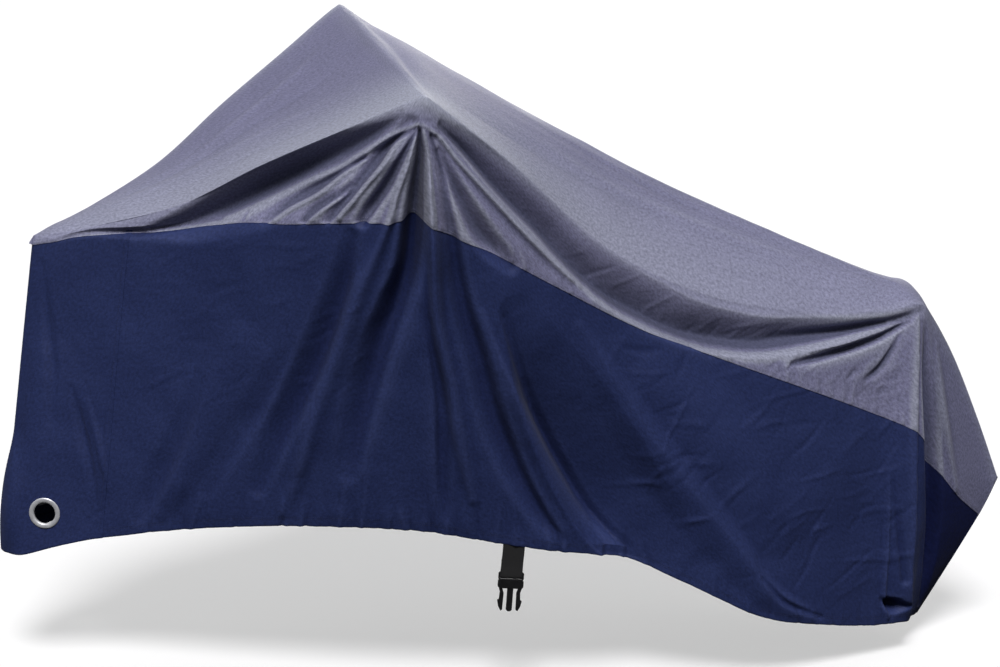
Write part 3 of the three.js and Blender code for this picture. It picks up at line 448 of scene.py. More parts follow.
def fold_height(folds, x, y):
    """How far the folds lift each point of a flat view"""
    total = np.zeros_like(x)
    for sharp, skew, path in folds:
        reach = path[:, 2].max() * (1 + abs(skew))
        near = (
            (x > path[:, 0].min() - reach)
            & (x < path[:, 0].max() + reach)
            & (y > path[:, 1].min() - reach)
            & (y < path[:, 1].max() + reach)
        )
        if not near.any():
            continue
        px, py = x[near], y[near]
        nearest = np.full(px.shape, np.inf)
        half = np.ones_like(px)
        crest = np.zeros_like(px)
        turn = np.zeros_like(px)
        for start, end in zip(path[:-1], path[1:]):
            run = end[:2] - start[:2]
            from_x = px - start[0]
            from_y = py - start[1]
            part = np.clip((from_x * run[0] + from_y * run[1]) / max(run @ run, 1e-9), 0, 1)
            distance = np.hypot(from_x - part * run[0], from_y - part * run[1])
            closer = distance < nearest
            nearest = np.where(closer, distance, nearest)
            half = np.where(closer, start[2] + (end[2] - start[2]) * part, half)
            crest = np.where(closer, start[3] + (end[3] - start[3]) * part, crest)
            across = run[0] * from_y - run[1] * from_x
            turn = np.where(closer, across / np.maximum(np.hypot(*run) * distance, 1e-9), turn)
        away = np.clip(nearest / (half * (1 - skew * np.clip(turn, -1, 1))), 0, 1)
        soft = (1 - away * away) ** 2
        flat = 1 - np.minimum(np.sqrt(away * away + CREASE_ROUND**2), 1)
        crease = flat**2 if sharp > 0 else flat
        total[near] += crest * (soft + (crease - soft) * abs(sharp))
    return total


def fold_paths(folds):
    """The folds with their points joined by smooth paths"""
    paths = []
    for sharp, skew, points in folds:
        steps = FOLD_STEPS * (len(points) - 1) + 1
        paths.append((sharp, skew, catmull_rom(points, np.linspace(0, len(points) - 1, steps))))
    return paths


def small_folds_at(rows, start_v):
    """Short folds that run up from the seam or the hem"""
    folds = []
    for u_range, apart, longs, halves, height, seed in rows:
        rng = np.random.default_rng(seed)
        points = edge_seam_hem(np.linspace(*u_range, SPAN_POINTS))[start_v]
        count = int(np.linalg.norm(np.diff(points, axis=0), axis=1).sum() / apart)
        shifts = rng.uniform(-SMALL_FOLD_SHIFT, SMALL_FOLD_SHIFT, count)
        places = np.linspace(*u_range, count) + shifts * np.ptp(u_range) / count
        for index, u in enumerate(places):
            long = rng.uniform(*longs)
            half = rng.uniform(*halves)
            out = height * rng.uniform(*SMALL_FOLD_HEIGHTS) * (1 if index % 2 else -1)
            bend = rng.uniform(-SMALL_FOLD_BEND, SMALL_FOLD_BEND) * long
            marks = edge_seam_hem(u)
            wall_long = np.linalg.norm(marks[start_v] - marks[start_v - 1])
            start = plain_wall(u, start_v)
            end = plain_wall(u, start_v - long / wall_long)
            middle = (start + end) / 2
            path = [
                (start[0], start[2], half, out),
                (middle[0] + bend, middle[2], half * SMALL_FOLD_MIDDLE_WIDTH, out * SMALL_FOLD_MIDDLE_HEIGHT),
                (end[0] + SMALL_FOLD_END_BEND * bend, end[2], half * SMALL_FOLD_END_WIDTH, 0),
            ]
            folds.append((rng.uniform(*SMALL_FOLD_SHARPNESS), 0.0, path))
    return folds


def crinkles():
    """Fine creases at a slant within fields of the wall"""
    folds = []
    for u_range, v_range, count, longs, halves, height, lean, spread, seed in CRINKLES:
        rng = np.random.default_rng(seed)
        for _ in range(count):
            x, z = plain_wall(rng.uniform(*u_range), rng.uniform(*v_range))[[0, 2]]
            angle = math.radians(lean + rng.uniform(-1, 1) * spread)
            long = rng.uniform(*longs) / 2
            half = rng.uniform(*halves)
            out = height * rng.uniform(*CRINKLE_HEIGHTS) * rng.choice([-1, 1])
            sag = rng.uniform(-CRINKLE_SAG, CRINKLE_SAG) * long
            cos, sin = math.cos(angle), math.sin(angle)
            path = [
                (x - cos * long, z - sin * long, half * CRINKLE_END_WIDTH, 0),
                (x - sag * sin, z + sag * cos, half, out),
                (x + cos * long, z + sin * long, half * CRINKLE_END_WIDTH, 0),
            ]
            folds.append((rng.uniform(*CRINKLE_SHARPNESS), 0.0, path))
    return folds


WALL_HOLLOWS = {LEFT: fold_paths(LEFT_HOLLOWS), RIGHT: []}
WALL_FOLDS = {}
for side, main in ((LEFT, LEFT_FOLDS), (RIGHT, RIGHT_FOLDS)):
    small = small_folds_at(GATHERS[side], HEM) + small_folds_at(PUCKERS, SEAM) + crinkles()
    WALL_FOLDS[side] = fold_paths(main + small)
TOP_PATHS = fold_paths(TOP_FOLDS)


def place(x, y, z):
    """From the plain cover to the frame, in millimetres: the peaks are turned and the whole leans"""
    turned = np.clip(1 - x / TAIL_CORNER_X, 0, 1)
    return np.stack([x - (PEAK_TURN / PEAK_HALF) * y * turned, y, z + LEAN * y + SHEET], -1)


# The flat spot at an eyelet
STEPS = np.array([-SMALL_STEP, SMALL_STEP])
EYELET_CENTRE = plain_wall(EYELET_U, EYELET_V)
EYELET_RUNS = [
    np.diff(plain_wall(EYELET_U + STEPS, np.full(2, EYELET_V)), axis=0)[0],
    np.diff(plain_wall(np.full(2, EYELET_U), EYELET_V + STEPS), axis=0)[0],
]
EYELET_OUT = unit(np.cross(*EYELET_RUNS))
EYELET_OUT = EYELET_OUT * np.sign(EYELET_OUT[1])


def wall(side, u, v, rise=0.0):
    """Points of a wall with its folds, in the frame and in millimetres, and how far each was lifted"""
    point = plain_wall(u, v)
    out = way_out(u, v)
    x, half, z = point[..., 0], point[..., 1], point[..., 2]
    room = smoothstep(half, *FOLD_ROOM) * smoothstep(v, EDGE, EDGE_RAMP)
    lift = room * (fold_height(WALL_FOLDS[side], x, z) + swells(x, z, WALL_SEED + side))
    moved = lift + room * fold_height(WALL_HOLLOWS[side], x, z) + rise
    x = x + moved * out[..., 0]
    half = half + moved * out[..., 1]
    from_eyelet = np.stack([x, half, z], -1) - EYELET_CENTRE
    loose = smoothstep(np.hypot(from_eyelet[..., 0], from_eyelet[..., 2]), EYELET_FLAT, EYELET_FADE)
    half = half - (1 - loose) * (from_eyelet @ EYELET_OUT - rise) / EYELET_OUT[1]
    return place(x, side * half, z), lift


def top(u, across):
    """Points of the top, in the frame and in millimetres, and how far each was lifted"""
    line = catmull_rom(LINES, u)
    x = line[..., 0]
    y = line[..., 1] * across
    z = line[..., 2] + line[..., 9] * (1 - np.abs(across) ** CROWN_POWER)
    ahead = catmull_rom(LINES, np.minimum(u + SMALL_STEP, LAST))
    run = ahead - catmull_rom(LINES, np.maximum(u - SMALL_STEP, 0))
    slope = np.hypot(run[..., 0], run[..., 2])
    ramp = smoothstep(1 - np.abs(across), 0, TOP_RAMP) * smoothstep(line[..., 1], *FOLD_ROOM)
    lift = ramp * (fold_height(TOP_PATHS, x, y) + TOP_SWELLS * swells(x, y, TOP_SEED))
    return place(x - lift * run[..., 2] / slope, y, z + lift * run[..., 0] / slope), lift


def spaced_lines(first, last, spacing):
    """Values of u from first to last that lie about as far apart as the spacing asks"""
    fine = np.linspace(first, last, SPACING_POINTS)
    steps = [np.linalg.norm(np.diff(line, axis=0), axis=1) for line in edge_seam_hem(fine)]
    length = np.concatenate([[0], np.cumsum(np.mean(steps, axis=0))])
    count = int(length[-1] / spacing) + 1
    return np.interp(np.linspace(0, length[-1], count), length, fine)


# Meshes

def lengths_along(points, axis):
    steps = np.linalg.norm(np.diff(points, axis=axis), axis=-1)
    start = np.zeros_like(np.take(steps, [0], axis=axis))
    return np.cumsum(np.concatenate([start, steps], axis=axis), axis=axis)


def add_object(name, data):
    piece = bpy.data.objects.new(name, data)
    bpy.context.scene.collection.objects.link(piece)
    return piece


def point_values(piece, name, values):
    attribute = piece.data.attributes.new(name, "FLOAT", "POINT")
    attribute.data.foreach_set("value", np.asarray(values, dtype=np.float32).ravel())


def mesh_object(name, points, faces, material, coordinates=None):
    """A smooth mesh from points in millimetres, with cloth coordinates in metres"""
    mesh = bpy.data.meshes.new(name)
    mesh.from_pydata((np.asarray(points) * MM).tolist(), [], faces)
    mesh.polygons.foreach_set("use_smooth", np.ones(len(mesh.polygons), dtype=bool))
    if coordinates is not None:
        corner = np.empty(len(mesh.loops), dtype=np.int32)
        mesh.loops.foreach_get("vertex_index", corner)
        layer = mesh.uv_layers.new(name="cloth")
        layer.data.foreach_set("uv", (np.asarray(coordinates) * MM)[corner].ravel())
    mesh.materials.append(material)
    mesh.update()
    return add_object(name, mesh)


def crests(lift):
    """How far each point stands proud of the cloth close around it"""
    around = lift
    for _ in range(CREST_SMOOTHING):
        padded = np.pad(around, ((1, 1), (0, 0)), mode="edge")
        around = (padded[:-2] + 2 * padded[1:-1] + padded[2:]) / 4
        padded = np.pad(around, ((0, 0), (1, 1)), mode="edge")
        around = (padded[:, :-2] + 2 * padded[:, 1:-1] + padded[:, 2:]) / 4
    return lift - around


def grid_object(name, points, lift, material, flip, keep=None):
    """A sheet from a grid of points, without the faces at points that are not kept"""
    rows, columns = points.shape[:2]
    across = lengths_along(points, 1).mean(axis=0, keepdims=True).repeat(rows, axis=0)
    coordinates = np.stack([across, lengths_along(points, 0)], -1)
    index = np.arange(rows * columns).reshape(rows, columns)
    corners = [index[:-1, :-1], index[:-1, 1:], index[1:, 1:], index[1:, :-1]]
    faces = np.stack([corner.ravel() for corner in corners], -1)
    if flip:
        faces = faces[:, ::-1]
    if keep is not None:
        faces = faces[keep.ravel()[faces].all(axis=1)]
    piece = mesh_object(name, points.reshape(-1, 3), faces.tolist(), material, coordinates.reshape(-1, 2))
    point_values(piece, "fold", lift)
    point_values(piece, "crest", crests(lift))
    return piece


def tube_faces(rows, around, closed):
    """Faces between rows of points that go around a tube; a closed tube joins its last row to its first"""
    faces = []
    for row in range(rows if closed else rows - 1):
        here = row * around
        there = (row + 1) % rows * around
        for step in range(around):
            after = (step + 1) % around
            faces.append((here + step, here + after, there + after, there + step))
    return faces


def rounded_edges(piece, name, width):
    bevel = piece.modifiers.new(name, "BEVEL")
    bevel.width = width * MM
    bevel.segments = 2
    bevel.limit_method = "ANGLE"


# Materials

class Nodes:
    """Short ways to add the nodes of one material; each gives the output of its node"""

    def __init__(self, owner):
        self.tree = owner.node_tree

    def give(self, sockets, values):
        """Set sockets by name or number, to a constant or from another node"""
        for name, value in values.items():
            if isinstance(value, (int, float, tuple)):
                sockets[name].default_value = value
            else:
                self.tree.links.new(value, sockets[name])

    def add(self, kind, output, inputs, **settings):
        node = self.tree.nodes.new(kind)
        for name, value in settings.items():
            setattr(node, name, value)
        self.give(node.inputs, inputs)
        return node.outputs[output]

    def body(self):
        return self.add("ShaderNodeTexCoord", "Object", {})

    def cloth(self):
        return self.add("ShaderNodeUVMap", "UV", {}, uv_map="cloth")

    def attribute(self, name):
        return self.add("ShaderNodeAttribute", "Fac", {}, attribute_name=name)

    def part(self, source, axis):
        return self.add("ShaderNodeSeparateXYZ", axis, {"Vector": source})

    def place(self, source, scale=(1, 1, 1), turn=(0, 0, 0)):
        return self.add("ShaderNodeMapping", "Vector", {"Vector": source, "Scale": scale, "Rotation": turn})

    def noise(self, source, scale, detail=3.0, rough=0.55, kind="FBM"):
        inputs = {"Vector": source, "Scale": scale, "Detail": detail, "Roughness": rough}
        return self.add("ShaderNodeTexNoise", "Fac", inputs, noise_type=kind)

    def wave(self, source, period, direction):
        """Bands with a period in metres; the node turns through 20 radians in a unit at scale 1"""
        inputs = {"Vector": source, "Scale": 2 * math.pi / (20 * period)}
        return self.add("ShaderNodeTexWave", "Fac", inputs, wave_type="BANDS", bands_direction=direction)

    def math(self, operation, first, second):
        return self.add("ShaderNodeMath", "Value", {0: first, 1: second}, operation=operation)

    def span(self, source, low, high, to_low, to_high):
        """The source brought from one range to another"""
        inputs = {"Value": source, "From Min": low, "From Max": high, "To Min": to_low, "To Max": to_high}
        return self.add("ShaderNodeMapRange", "Result", inputs)

    def mix(self, factor, first, second, blend="MIX"):
        """A mix of two colours, whose sockets have numbers because their names are not unique"""
        inputs = {0: factor, 6: first, 7: second}
        return self.add("ShaderNodeMix", 2, inputs, data_type="RGBA", blend_type=blend)

    def ramp(self, source, low, high, first, second):
        """One colour where the source is low, another where it is high"""
        return self.mix(self.span(source, low, high, 0, 1), first, second)

    def bump(self, height, distance, strength, before=None):
        inputs = {"Height": height, "Distance": distance, "Strength": strength}
        if before is not None:
            inputs["Normal"] = before
        return self.add("ShaderNodeBump", "Normal", inputs)


def new_material(name):
    """A material with one shader, ways to add its nodes, and the sockets of the shader"""
    material = bpy.data.materials.new(name)
    material.use_nodes = True
    tree = material.node_tree
    tree.nodes.clear()
    output = tree.nodes.new("ShaderNodeOutputMaterial")
    shader = tree.nodes.new("ShaderNodeBsdfPrincipled")
    tree.links.new(shader.outputs["BSDF"], output.inputs["Surface"])
    return material, Nodes(material), shader.inputs


def woven_cloth(name, dark, light, slub_and_highlight, pale, deep, shade, tail_shade, sheen, streak, mottling):
    """Coated woven polyester: a fine plain weave, slub and crinkles, with painted highlight on crests and
    edges, and painted shade in hollows and on the tail fin
    """
    material, nodes, sockets = new_material(name)
    cloth = nodes.cloth()
    body = nodes.body()
    thread_apart = 0.0012
    weave = nodes.math("MULTIPLY", nodes.wave(cloth, thread_apart, "X"), nodes.wave(cloth, thread_apart, "Y"))
    slub_x = nodes.noise(nodes.place(cloth, (60, 900, 1)), scale=1.0, detail=2.0)
    slub_y = nodes.noise(nodes.place(cloth, (900, 60, 1)), scale=1.0, detail=2.0)
    slub = nodes.math("ADD", slub_x, slub_y)
    blotch = nodes.noise(body, scale=7.0, detail=4.0, rough=0.6)
    speck = nodes.noise(cloth, scale=420.0, detail=2.0, rough=0.7)
    base = nodes.ramp(blotch, 0.3, 0.7, dark, light)
    grain = nodes.span(nodes.math("ADD", slub, speck), 1.0, 2.0, 0.0, 1.0)
    base = nodes.mix(nodes.span(grain, 0.2, 0.8, 0.0, 0.35), base, slub_and_highlight)
    crest = nodes.attribute("crest")
    # Painted highlight on crests, where folds stand proud
    base = nodes.mix(nodes.span(crest, 0.4, 4.5, 0.0, 0.85), base, slub_and_highlight)
    # Painted shade where the cloth lies lower than the cloth close around it
    base = nodes.mix(nodes.span(crest, -4.5, -0.4, shade, 0.0), base, deep)
    # Painted highlight along the edges and ridge of the top, and painted light next to its left edge
    base = nodes.mix(nodes.attribute("painted_light"), base, pale)
    # Painted shade in the troughs of folds, darker the deeper they go
    base = nodes.mix(nodes.span(nodes.attribute("fold"), -55.0, -8.0, shade, 0.0), base, deep)
    # Painted shade on the tail fin behind the corner
    base = nodes.mix(nodes.span(nodes.part(body, "X"), *TAIL_SHADE, 0.0, tail_shade), base, deep)
    patch = nodes.noise(cloth, scale=130.0, detail=3.0, rough=0.65)
    base = nodes.mix(1.0, base, nodes.span(patch, 0.35, 0.65, 1 - mottling, 1 + mottling), "MULTIPLY")
    crinkle = nodes.noise(nodes.place(body, streak), 1.0, detail=4.0, rough=0.6, kind="RIDGED_MULTIFRACTAL")
    # Painted light and shade along the crinkles that also bump the cloth
    base = nodes.mix(1.0, base, nodes.span(crinkle, 0.2, 1.2, 0.93, 1.1), "MULTIPLY")
    ripple = nodes.noise(body, scale=46.0, detail=4.0, rough=0.6)
    normal = nodes.bump(crinkle, distance=0.0012, strength=0.5)
    normal = nodes.bump(ripple, distance=0.0022, strength=0.5, before=normal)
    normal = nodes.bump(slub, distance=0.0006, strength=0.35, before=normal)
    normal = nodes.bump(weave, distance=0.0002, strength=0.4, before=normal)
    rough = nodes.span(nodes.math("ADD", blotch, speck), 0.6, 1.4, 0.5, 0.7)
    nodes.give(sockets, {"Base Color": base, "Roughness": rough, "Normal": normal})
    nodes.give(sockets, {"Sheen Weight": sheen, "Sheen Roughness": 0.45, "Specular IOR Level": 0.22})
    return material


def bright_metal():
    """Plated ring: fine scratches and smudges"""
    material, nodes, sockets = new_material("bright_metal")
    body = nodes.body()
    smudge = nodes.noise(body, scale=60.0, detail=4.0)
    scratch = nodes.noise(nodes.place(body, (900, 900, 120)), scale=1.0, detail=2.0)
    base = nodes.ramp(smudge, 0.35, 0.7, (0.6, 0.61, 0.65, 1), (0.76, 0.77, 0.8, 1))
    rough = nodes.span(smudge, 0.3, 0.7, 0.3, 0.46)
    normal = nodes.bump(scratch, distance=0.0001, strength=0.25)
    nodes.give(sockets, {"Base Color": base, "Roughness": rough, "Normal": normal, "Metallic": 0.45})
    return material


def black_webbing():
    """Woven webbing: ribs along the strap crossed at a slant, with fuzz"""
    material, nodes, sockets = new_material("black_webbing")
    cloth = nodes.cloth()
    rib = nodes.wave(cloth, 0.0026, "X")
    pick = nodes.wave(nodes.place(cloth, turn=(0, 0, 0.5)), 0.0016, "Y")
    fuzz = nodes.noise(cloth, scale=900.0, detail=3.0)
    weave = nodes.math("MULTIPLY", rib, pick)
    height = nodes.math("ADD", weave, fuzz)
    base = nodes.ramp(height, 0.3, 1.5, (0.004, 0.004, 0.0045, 1), (0.02, 0.02, 0.022, 1))
    rough = nodes.span(fuzz, 0.3, 0.7, 0.75, 0.95)
    normal = nodes.bump(weave, distance=0.0006, strength=0.8)
    nodes.give(sockets, {"Base Color": base, "Roughness": rough, "Normal": normal, "Sheen Weight": 0.08})
    return material


def black_plastic():
    """Moulded plastic: fine spark grain, with rubbed patches"""
    material, nodes, sockets = new_material("black_plastic")
    body = nodes.body()
    grain = nodes.noise(body, scale=1600.0, detail=2.0)
    rub = nodes.noise(body, scale=70.0, detail=4.0)
    base = nodes.ramp(rub, 0.45, 0.75, (0.006, 0.006, 0.007, 1), (0.016, 0.016, 0.017, 1))
    rough = nodes.span(rub, 0.35, 0.7, 0.5, 0.32)
    normal = nodes.bump(grain, distance=0.0002, strength=0.3)
    nodes.give(sockets, {"Base Color": base, "Roughness": rough, "Normal": normal})
    return material


def thread(name, dark, light):
    material, nodes, sockets = new_material(name)
    twist = nodes.noise(nodes.body(), scale=1500.0, detail=2.0)
    base = nodes.mix(twist, dark, light)
    nodes.give(sockets, {"Base Color": base, "Roughness": nodes.span(twist, 0.3, 0.7, 0.55, 0.8)})
    return material


GREY = woven_cloth(
    "grey_cloth",
    dark=(0.158, 0.156, 0.275, 1),
    light=(0.185, 0.182, 0.316, 1),
    slub_and_highlight=(0.32, 0.335, 0.43, 1),
    pale=(0.4, 0.42, 0.52, 1),
    deep=(0.06, 0.066, 0.12, 1),
    shade=0.7,
    tail_shade=0.3,
    sheen=0.1,
    streak=(5, 52, 52),
    mottling=0.24,
)
NAVY = woven_cloth(
    "navy_cloth",
    dark=(0.0168, 0.0265, 0.096, 1),
    light=(0.0222, 0.035, 0.122, 1),
    slub_and_highlight=(0.033, 0.048, 0.148, 1),
    pale=(0.05, 0.066, 0.18, 1),
    deep=(0.003, 0.0058, 0.044, 1),
    shade=0.32,
    tail_shade=0.9,
    sheen=0.03,
    streak=(40, 40, 26),
    mottling=0.2,
)
METAL = bright_metal()
WEBBING = black_webbing()
PLASTIC = black_plastic()
GREY_THREAD = thread("grey_thread", (0.2, 0.2, 0.27, 1), (0.33, 0.33, 0.42, 1))
NAVY_THREAD = thread("navy_thread", (0.012, 0.016, 0.05, 1), (0.03, 0.038, 0.1, 1))


# The sheets of the cover

def part_beside_seam(u, distance):
    """v at a distance from the seam in millimetres, below it where the distance is positive"""
    edge, seam, hem = edge_seam_hem(u)
    span = seam - edge if distance < 0 else hem - seam
    return SEAM + distance / np.linalg.norm(span, axis=-1)


def wall_rows(us, beyond, end, count):
    """Values of v for rows from beyond the seam to the edge or the hem"""
    beside = [part_beside_seam(us, distance) for distance in (beyond, beyond / 2, 0.0)]
    return np.array(beside + [np.full_like(us, v) for v in np.linspace(SEAM, end, count)[1:]])


def upper_wall(side, us, count):
    """Rows of a wall from the lap over the seam up to the edge"""
    v = wall_rows(us, LAP, EDGE, count)
    return wall(side, us + 0 * v, v, LAP_RISE * smoothstep(v, *LAP_SPAN))


def round_the_edges(points, edges):
    """Soften the section where the top turns over its edges"""
    rows = np.arange(len(points))
    weight = np.zeros(len(points))
    for edge in edges:
        weight = np.maximum(weight, np.clip(1 - np.abs(rows - edge) / EDGE_ROWS, 0, 1))
    weight = np.sqrt(weight)[:, None, None]
    for _ in range(EDGE_SMOOTHING):
        middle = points.copy()
        middle[1:-1] = (points[:-2] + 2 * points[1:-1] + points[2:]) / 4
        points = points + weight * (middle - points)
    return points


def painted_top_light(points, us, edges):
    """How much the top is painted with highlight along the edges, most at the peaks, and on the ridge between
    them, and with painted light next to its left edge
    """
    down = lengths_along(points, 0)
    along = lengths_along(points, 1)
    near_peak = EDGE_HIGHLIGHT[0] + (EDGE_HIGHLIGHT[1] - EDGE_HIGHLIGHT[0]) * np.exp(-(((us - PEAK_U) / HIGHLIGHT_SPAN) ** 2))
    painted_light = np.zeros(points.shape[:2])
    for edge in edges:
        away = (down - down[edge]) / HIGHLIGHT_REACH
        painted_light = np.maximum(painted_light, near_peak * np.exp(-(away**2)))
    between = slice(edges[0], edges[1] + 1)
    from_ridge = along - along[:, [np.argmin(np.abs(us - PEAK_U))]]
    ridge = EDGE_HIGHLIGHT[0] * np.exp(-((from_ridge / HIGHLIGHT_REACH) ** 2))
    from_peak = (us - PEAK_U) / np.where(us < PEAK_U, *PAINTED_SIDE_LIGHT_SPAN)
    # Painted light on the top next to its left edge, strongest near the peak
    painted_side_light = PAINTED_SIDE_LIGHT * np.exp(-(from_peak**2 + ((down - down[edges[0]]) / PAINTED_SIDE_LIGHT_REACH) ** 2))
    painted_light[between] = np.maximum(painted_light[between], np.maximum(ridge, painted_side_light)[between])
    return painted_light


def close_the_nose(points, *values):
    """A few columns that round off the front of the top"""
    front = points[:, 0]
    low = front[:, 2].min()
    columns = []
    for angle in np.radians(NOSE_ANGLES):
        column = front.copy()
        column[:, 0] -= NOSE_ROUND * math.sin(angle)
        column[:, 1] *= math.cos(angle)
        column[:, 2] = low + (front[:, 2] - low) * math.cos(angle)
        columns.append(column)
    extra = np.stack(columns, axis=1)
    blank = np.zeros(extra.shape[:2])
    longer = [np.concatenate([blank, value], axis=1) for value in values]
    return np.concatenate([extra, points], axis=1), *longer


def close_the_tail(points, *values):
    """One more column in the middle plane, where the two sides of the tail meet"""
    tip = points[:, -1:].copy()
    tip[..., 0] += TIP_ROUND
    tip[..., 1] = 0
    longer = [np.concatenate([value, value[:, -1:]], axis=1) for value in values]
    return np.concatenate([points, tip], axis=1), *longer


def top_panel():
    us = spaced_lines(0, LAST, SPACING)
    left, left_lift = upper_wall(LEFT, us, LEFT_WALL_ROWS)
    right, right_lift = upper_wall(RIGHT, us, RIGHT_WALL_ROWS)
    across = np.sin(np.linspace(-math.pi / 2, math.pi / 2, TOP_ROWS))[1:-1, None]
    middle, middle_lift = top(us + 0 * across, across + 0 * us)
    edges = (len(left) - 1, len(left) + len(middle))
    points = round_the_edges(np.concatenate([left, middle, right[::-1]]), edges)
    lift = np.concatenate([left_lift, TOP_DEPTH * middle_lift, right_lift[::-1]])
    # rubbed holds painted highlight along the edges and ridge of the top, and painted light next to its left
    # edge
    rubbed = painted_top_light(points, us, edges)
    points, lift, rubbed = close_the_tail(*close_the_nose(points, lift, rubbed))
    panel = grid_object("top_panel_cloth", points, lift, GREY, flip=False)
    point_values(panel, "painted_light", rubbed)
    return panel


def level_way_out(side, us, vs):
    """The way out of a wall in the frame"""
    out = way_out(us, vs)
    return np.stack([out[:, 0], side * out[:, 1], np.zeros(len(us))], -1)


def with_hem(side, us, points):
    """The rows of a wall and of its hem, which is turned in and up behind the cloth"""
    inward = -level_way_out(side, us, np.full_like(us, HEM))
    up = np.array([0.0, 0.0, 1.0])
    last = points[-1]
    rows = []
    for angle in np.radians(HEM_ANGLES):
        rows.append(last + inward * HEM_ROLL * (1 - math.cos(angle)) - up * HEM_ROLL * math.sin(angle))
    for height in (HEM_TURN / 2, HEM_TURN):
        rows.append(last + inward * 2 * HEM_ROLL + up * height)
    return np.concatenate([points, rows])


def skirt(name, side, spacing, count):
    """A wall from under the lap down to the hem"""
    us = spaced_lines(NOSE_STRIP_END - STRIP_OVERLAP, LAST, spacing)
    v = wall_rows(us, -LAP, HEM, count)
    points, lift = wall(side, us + 0 * v, v, -TUCK * (1 - smoothstep(v, *TUCK_SPAN)))
    points = with_hem(side, us, points)
    hem_lift = lift[-1:].repeat(len(points) - len(lift), axis=0)
    points, lift = close_the_tail(points, np.concatenate([lift, hem_lift]))
    return grid_object(name, points, lift, NAVY, flip=side == LEFT)


def eyelet_frame(side):
    """Centre and axes of an eyelet in the frame; the second axis points out of the cloth"""

    def moved(x, z):
        y = EYELET_CENTRE[1] - (x * EYELET_OUT[0] + z * EYELET_OUT[2]) / EYELET_OUT[1]
        return place(EYELET_CENTRE[0] + x, side * y, EYELET_CENTRE[2] + z)

    centre = moved(0, 0)
    out = unit(np.cross(moved(1, 0) - centre, moved(0, 1) - centre))
    out = out * np.sign(out[1] * side)
    first = unit(np.cross(out, [0, 0, 1]))
    return centre, np.stack([first, out, np.cross(first, out)])


def nose_strip():
    """The strip that wraps the nose, with a hole for each eyelet"""
    us = spaced_lines(0, NOSE_STRIP_END + STRIP_OVERLAP, SPACING)
    lap = LAP_RISE * smoothstep(us, NOSE_STRIP_END - STRIP_RISE_SPAN, NOSE_STRIP_END)
    v = np.linspace(SEAM, HEM, STRIP_ROWS)[:, None] + 0 * us
    sides = {side: with_hem(side, us, wall(side, us + 0 * v, v, lap)[0]) for side in (LEFT, RIGHT)}
    left, right = sides[LEFT][:, ::-1], sides[RIGHT]
    gap = np.linalg.norm(left[:, -1] - right[:, 0], axis=-1)
    between = []
    for part in np.linspace(-1, 1, STRIP_NOSE_COLUMNS)[1:-1]:
        column = left[:, -1] * (1 - part) / 2 + right[:, 0] * (1 + part) / 2
        column[:, 0] -= NOSE_BULGE * gap * (1 - part * part)
        between.append(column)
    points = np.concatenate([left, np.stack(between, axis=1), right], axis=1)
    keep = np.ones(points.shape[:2], dtype=bool)
    for side in (LEFT, RIGHT):
        centre, axes = eyelet_frame(side)
        offset = (points - centre) @ axes.T
        from_centre = np.hypot(offset[..., 0], offset[..., 2])
        keep &= (from_centre > HOLE_RADIUS) | (np.abs(offset[..., 1]) > HOLE_DEPTH)
    return grid_object("nose_strip_cloth", points, np.zeros(points.shape[:2]), NAVY, flip=False, keep=keep)


# Eyelets: the section of a ring, as radius and height out of the cloth, its sides and its rounded rims

RING_PROFILE = [
    (26.0, -3.6), (26.3, -4.3), (27.2, -4.7), (31.0, -4.5), (35.2, -3.9), (36.0, -3.3), (35.6, -2.8),
    (28.2, -2.7), (28.2, 0.3), (37.2, 0.3), (38.0, 0.9), (37.8, 1.9), (36.6, 2.9), (34.4, 3.4), (31.6, 3.5),
    (29.0, 3.2), (27.2, 2.4), (26.2, 1.2), (26.0, 0.0),
]
RING_SIDES = 112
RING_BEVEL = 0.3


def eyelet_ring(name, side):
    """A rolled metal ring with a flange on each face of the cloth"""
    centre, axes = eyelet_frame(side)
    points = [
        centre + radius * math.cos(turn) * axes[0] + height * axes[1] + radius * math.sin(turn) * axes[2]
        for turn in np.linspace(0, 2 * math.pi, RING_SIDES, endpoint=False)
        for radius, height in RING_PROFILE
    ]
    ring = mesh_object(name, points, tube_faces(RING_SIDES, len(RING_PROFILE), closed=True), METAL)
    rounded_edges(ring, "rolled_rims", RING_BEVEL)
    return ring


# Straps: the bars that they loop around, with the way into the cover, then loops, sewn ends and sections

BARS = {
    LEFT: {"centre": (277.8, -342.8, -1188.6), "inward": (0.0136, 0.9999, 0.0)},
    RIGHT: {"centre": (178.0, 342.2, -1118.6), "inward": (0.0136, -0.9999, 0.0)},
}
BAR_TILT = 4
BAR_HALF = 3.5
BAR_HALF_THICK = 2.5
LOOP_ROOM = 0.8
LOOP_SLACK = 7.4
LOOP_BEND_Z = -2.6
LOOP_ANGLES = (25, 50, 75, 90, 105, 130, 155, 180)
LEGS_APART = 0.4
SEWN_AT = (1.95, 1.975, 2.0)
SELVEDGE = 0.7
STRAP_COLUMNS = 24
STRAP_STEPS = 6
BUCKLE_BEVEL = 0.7


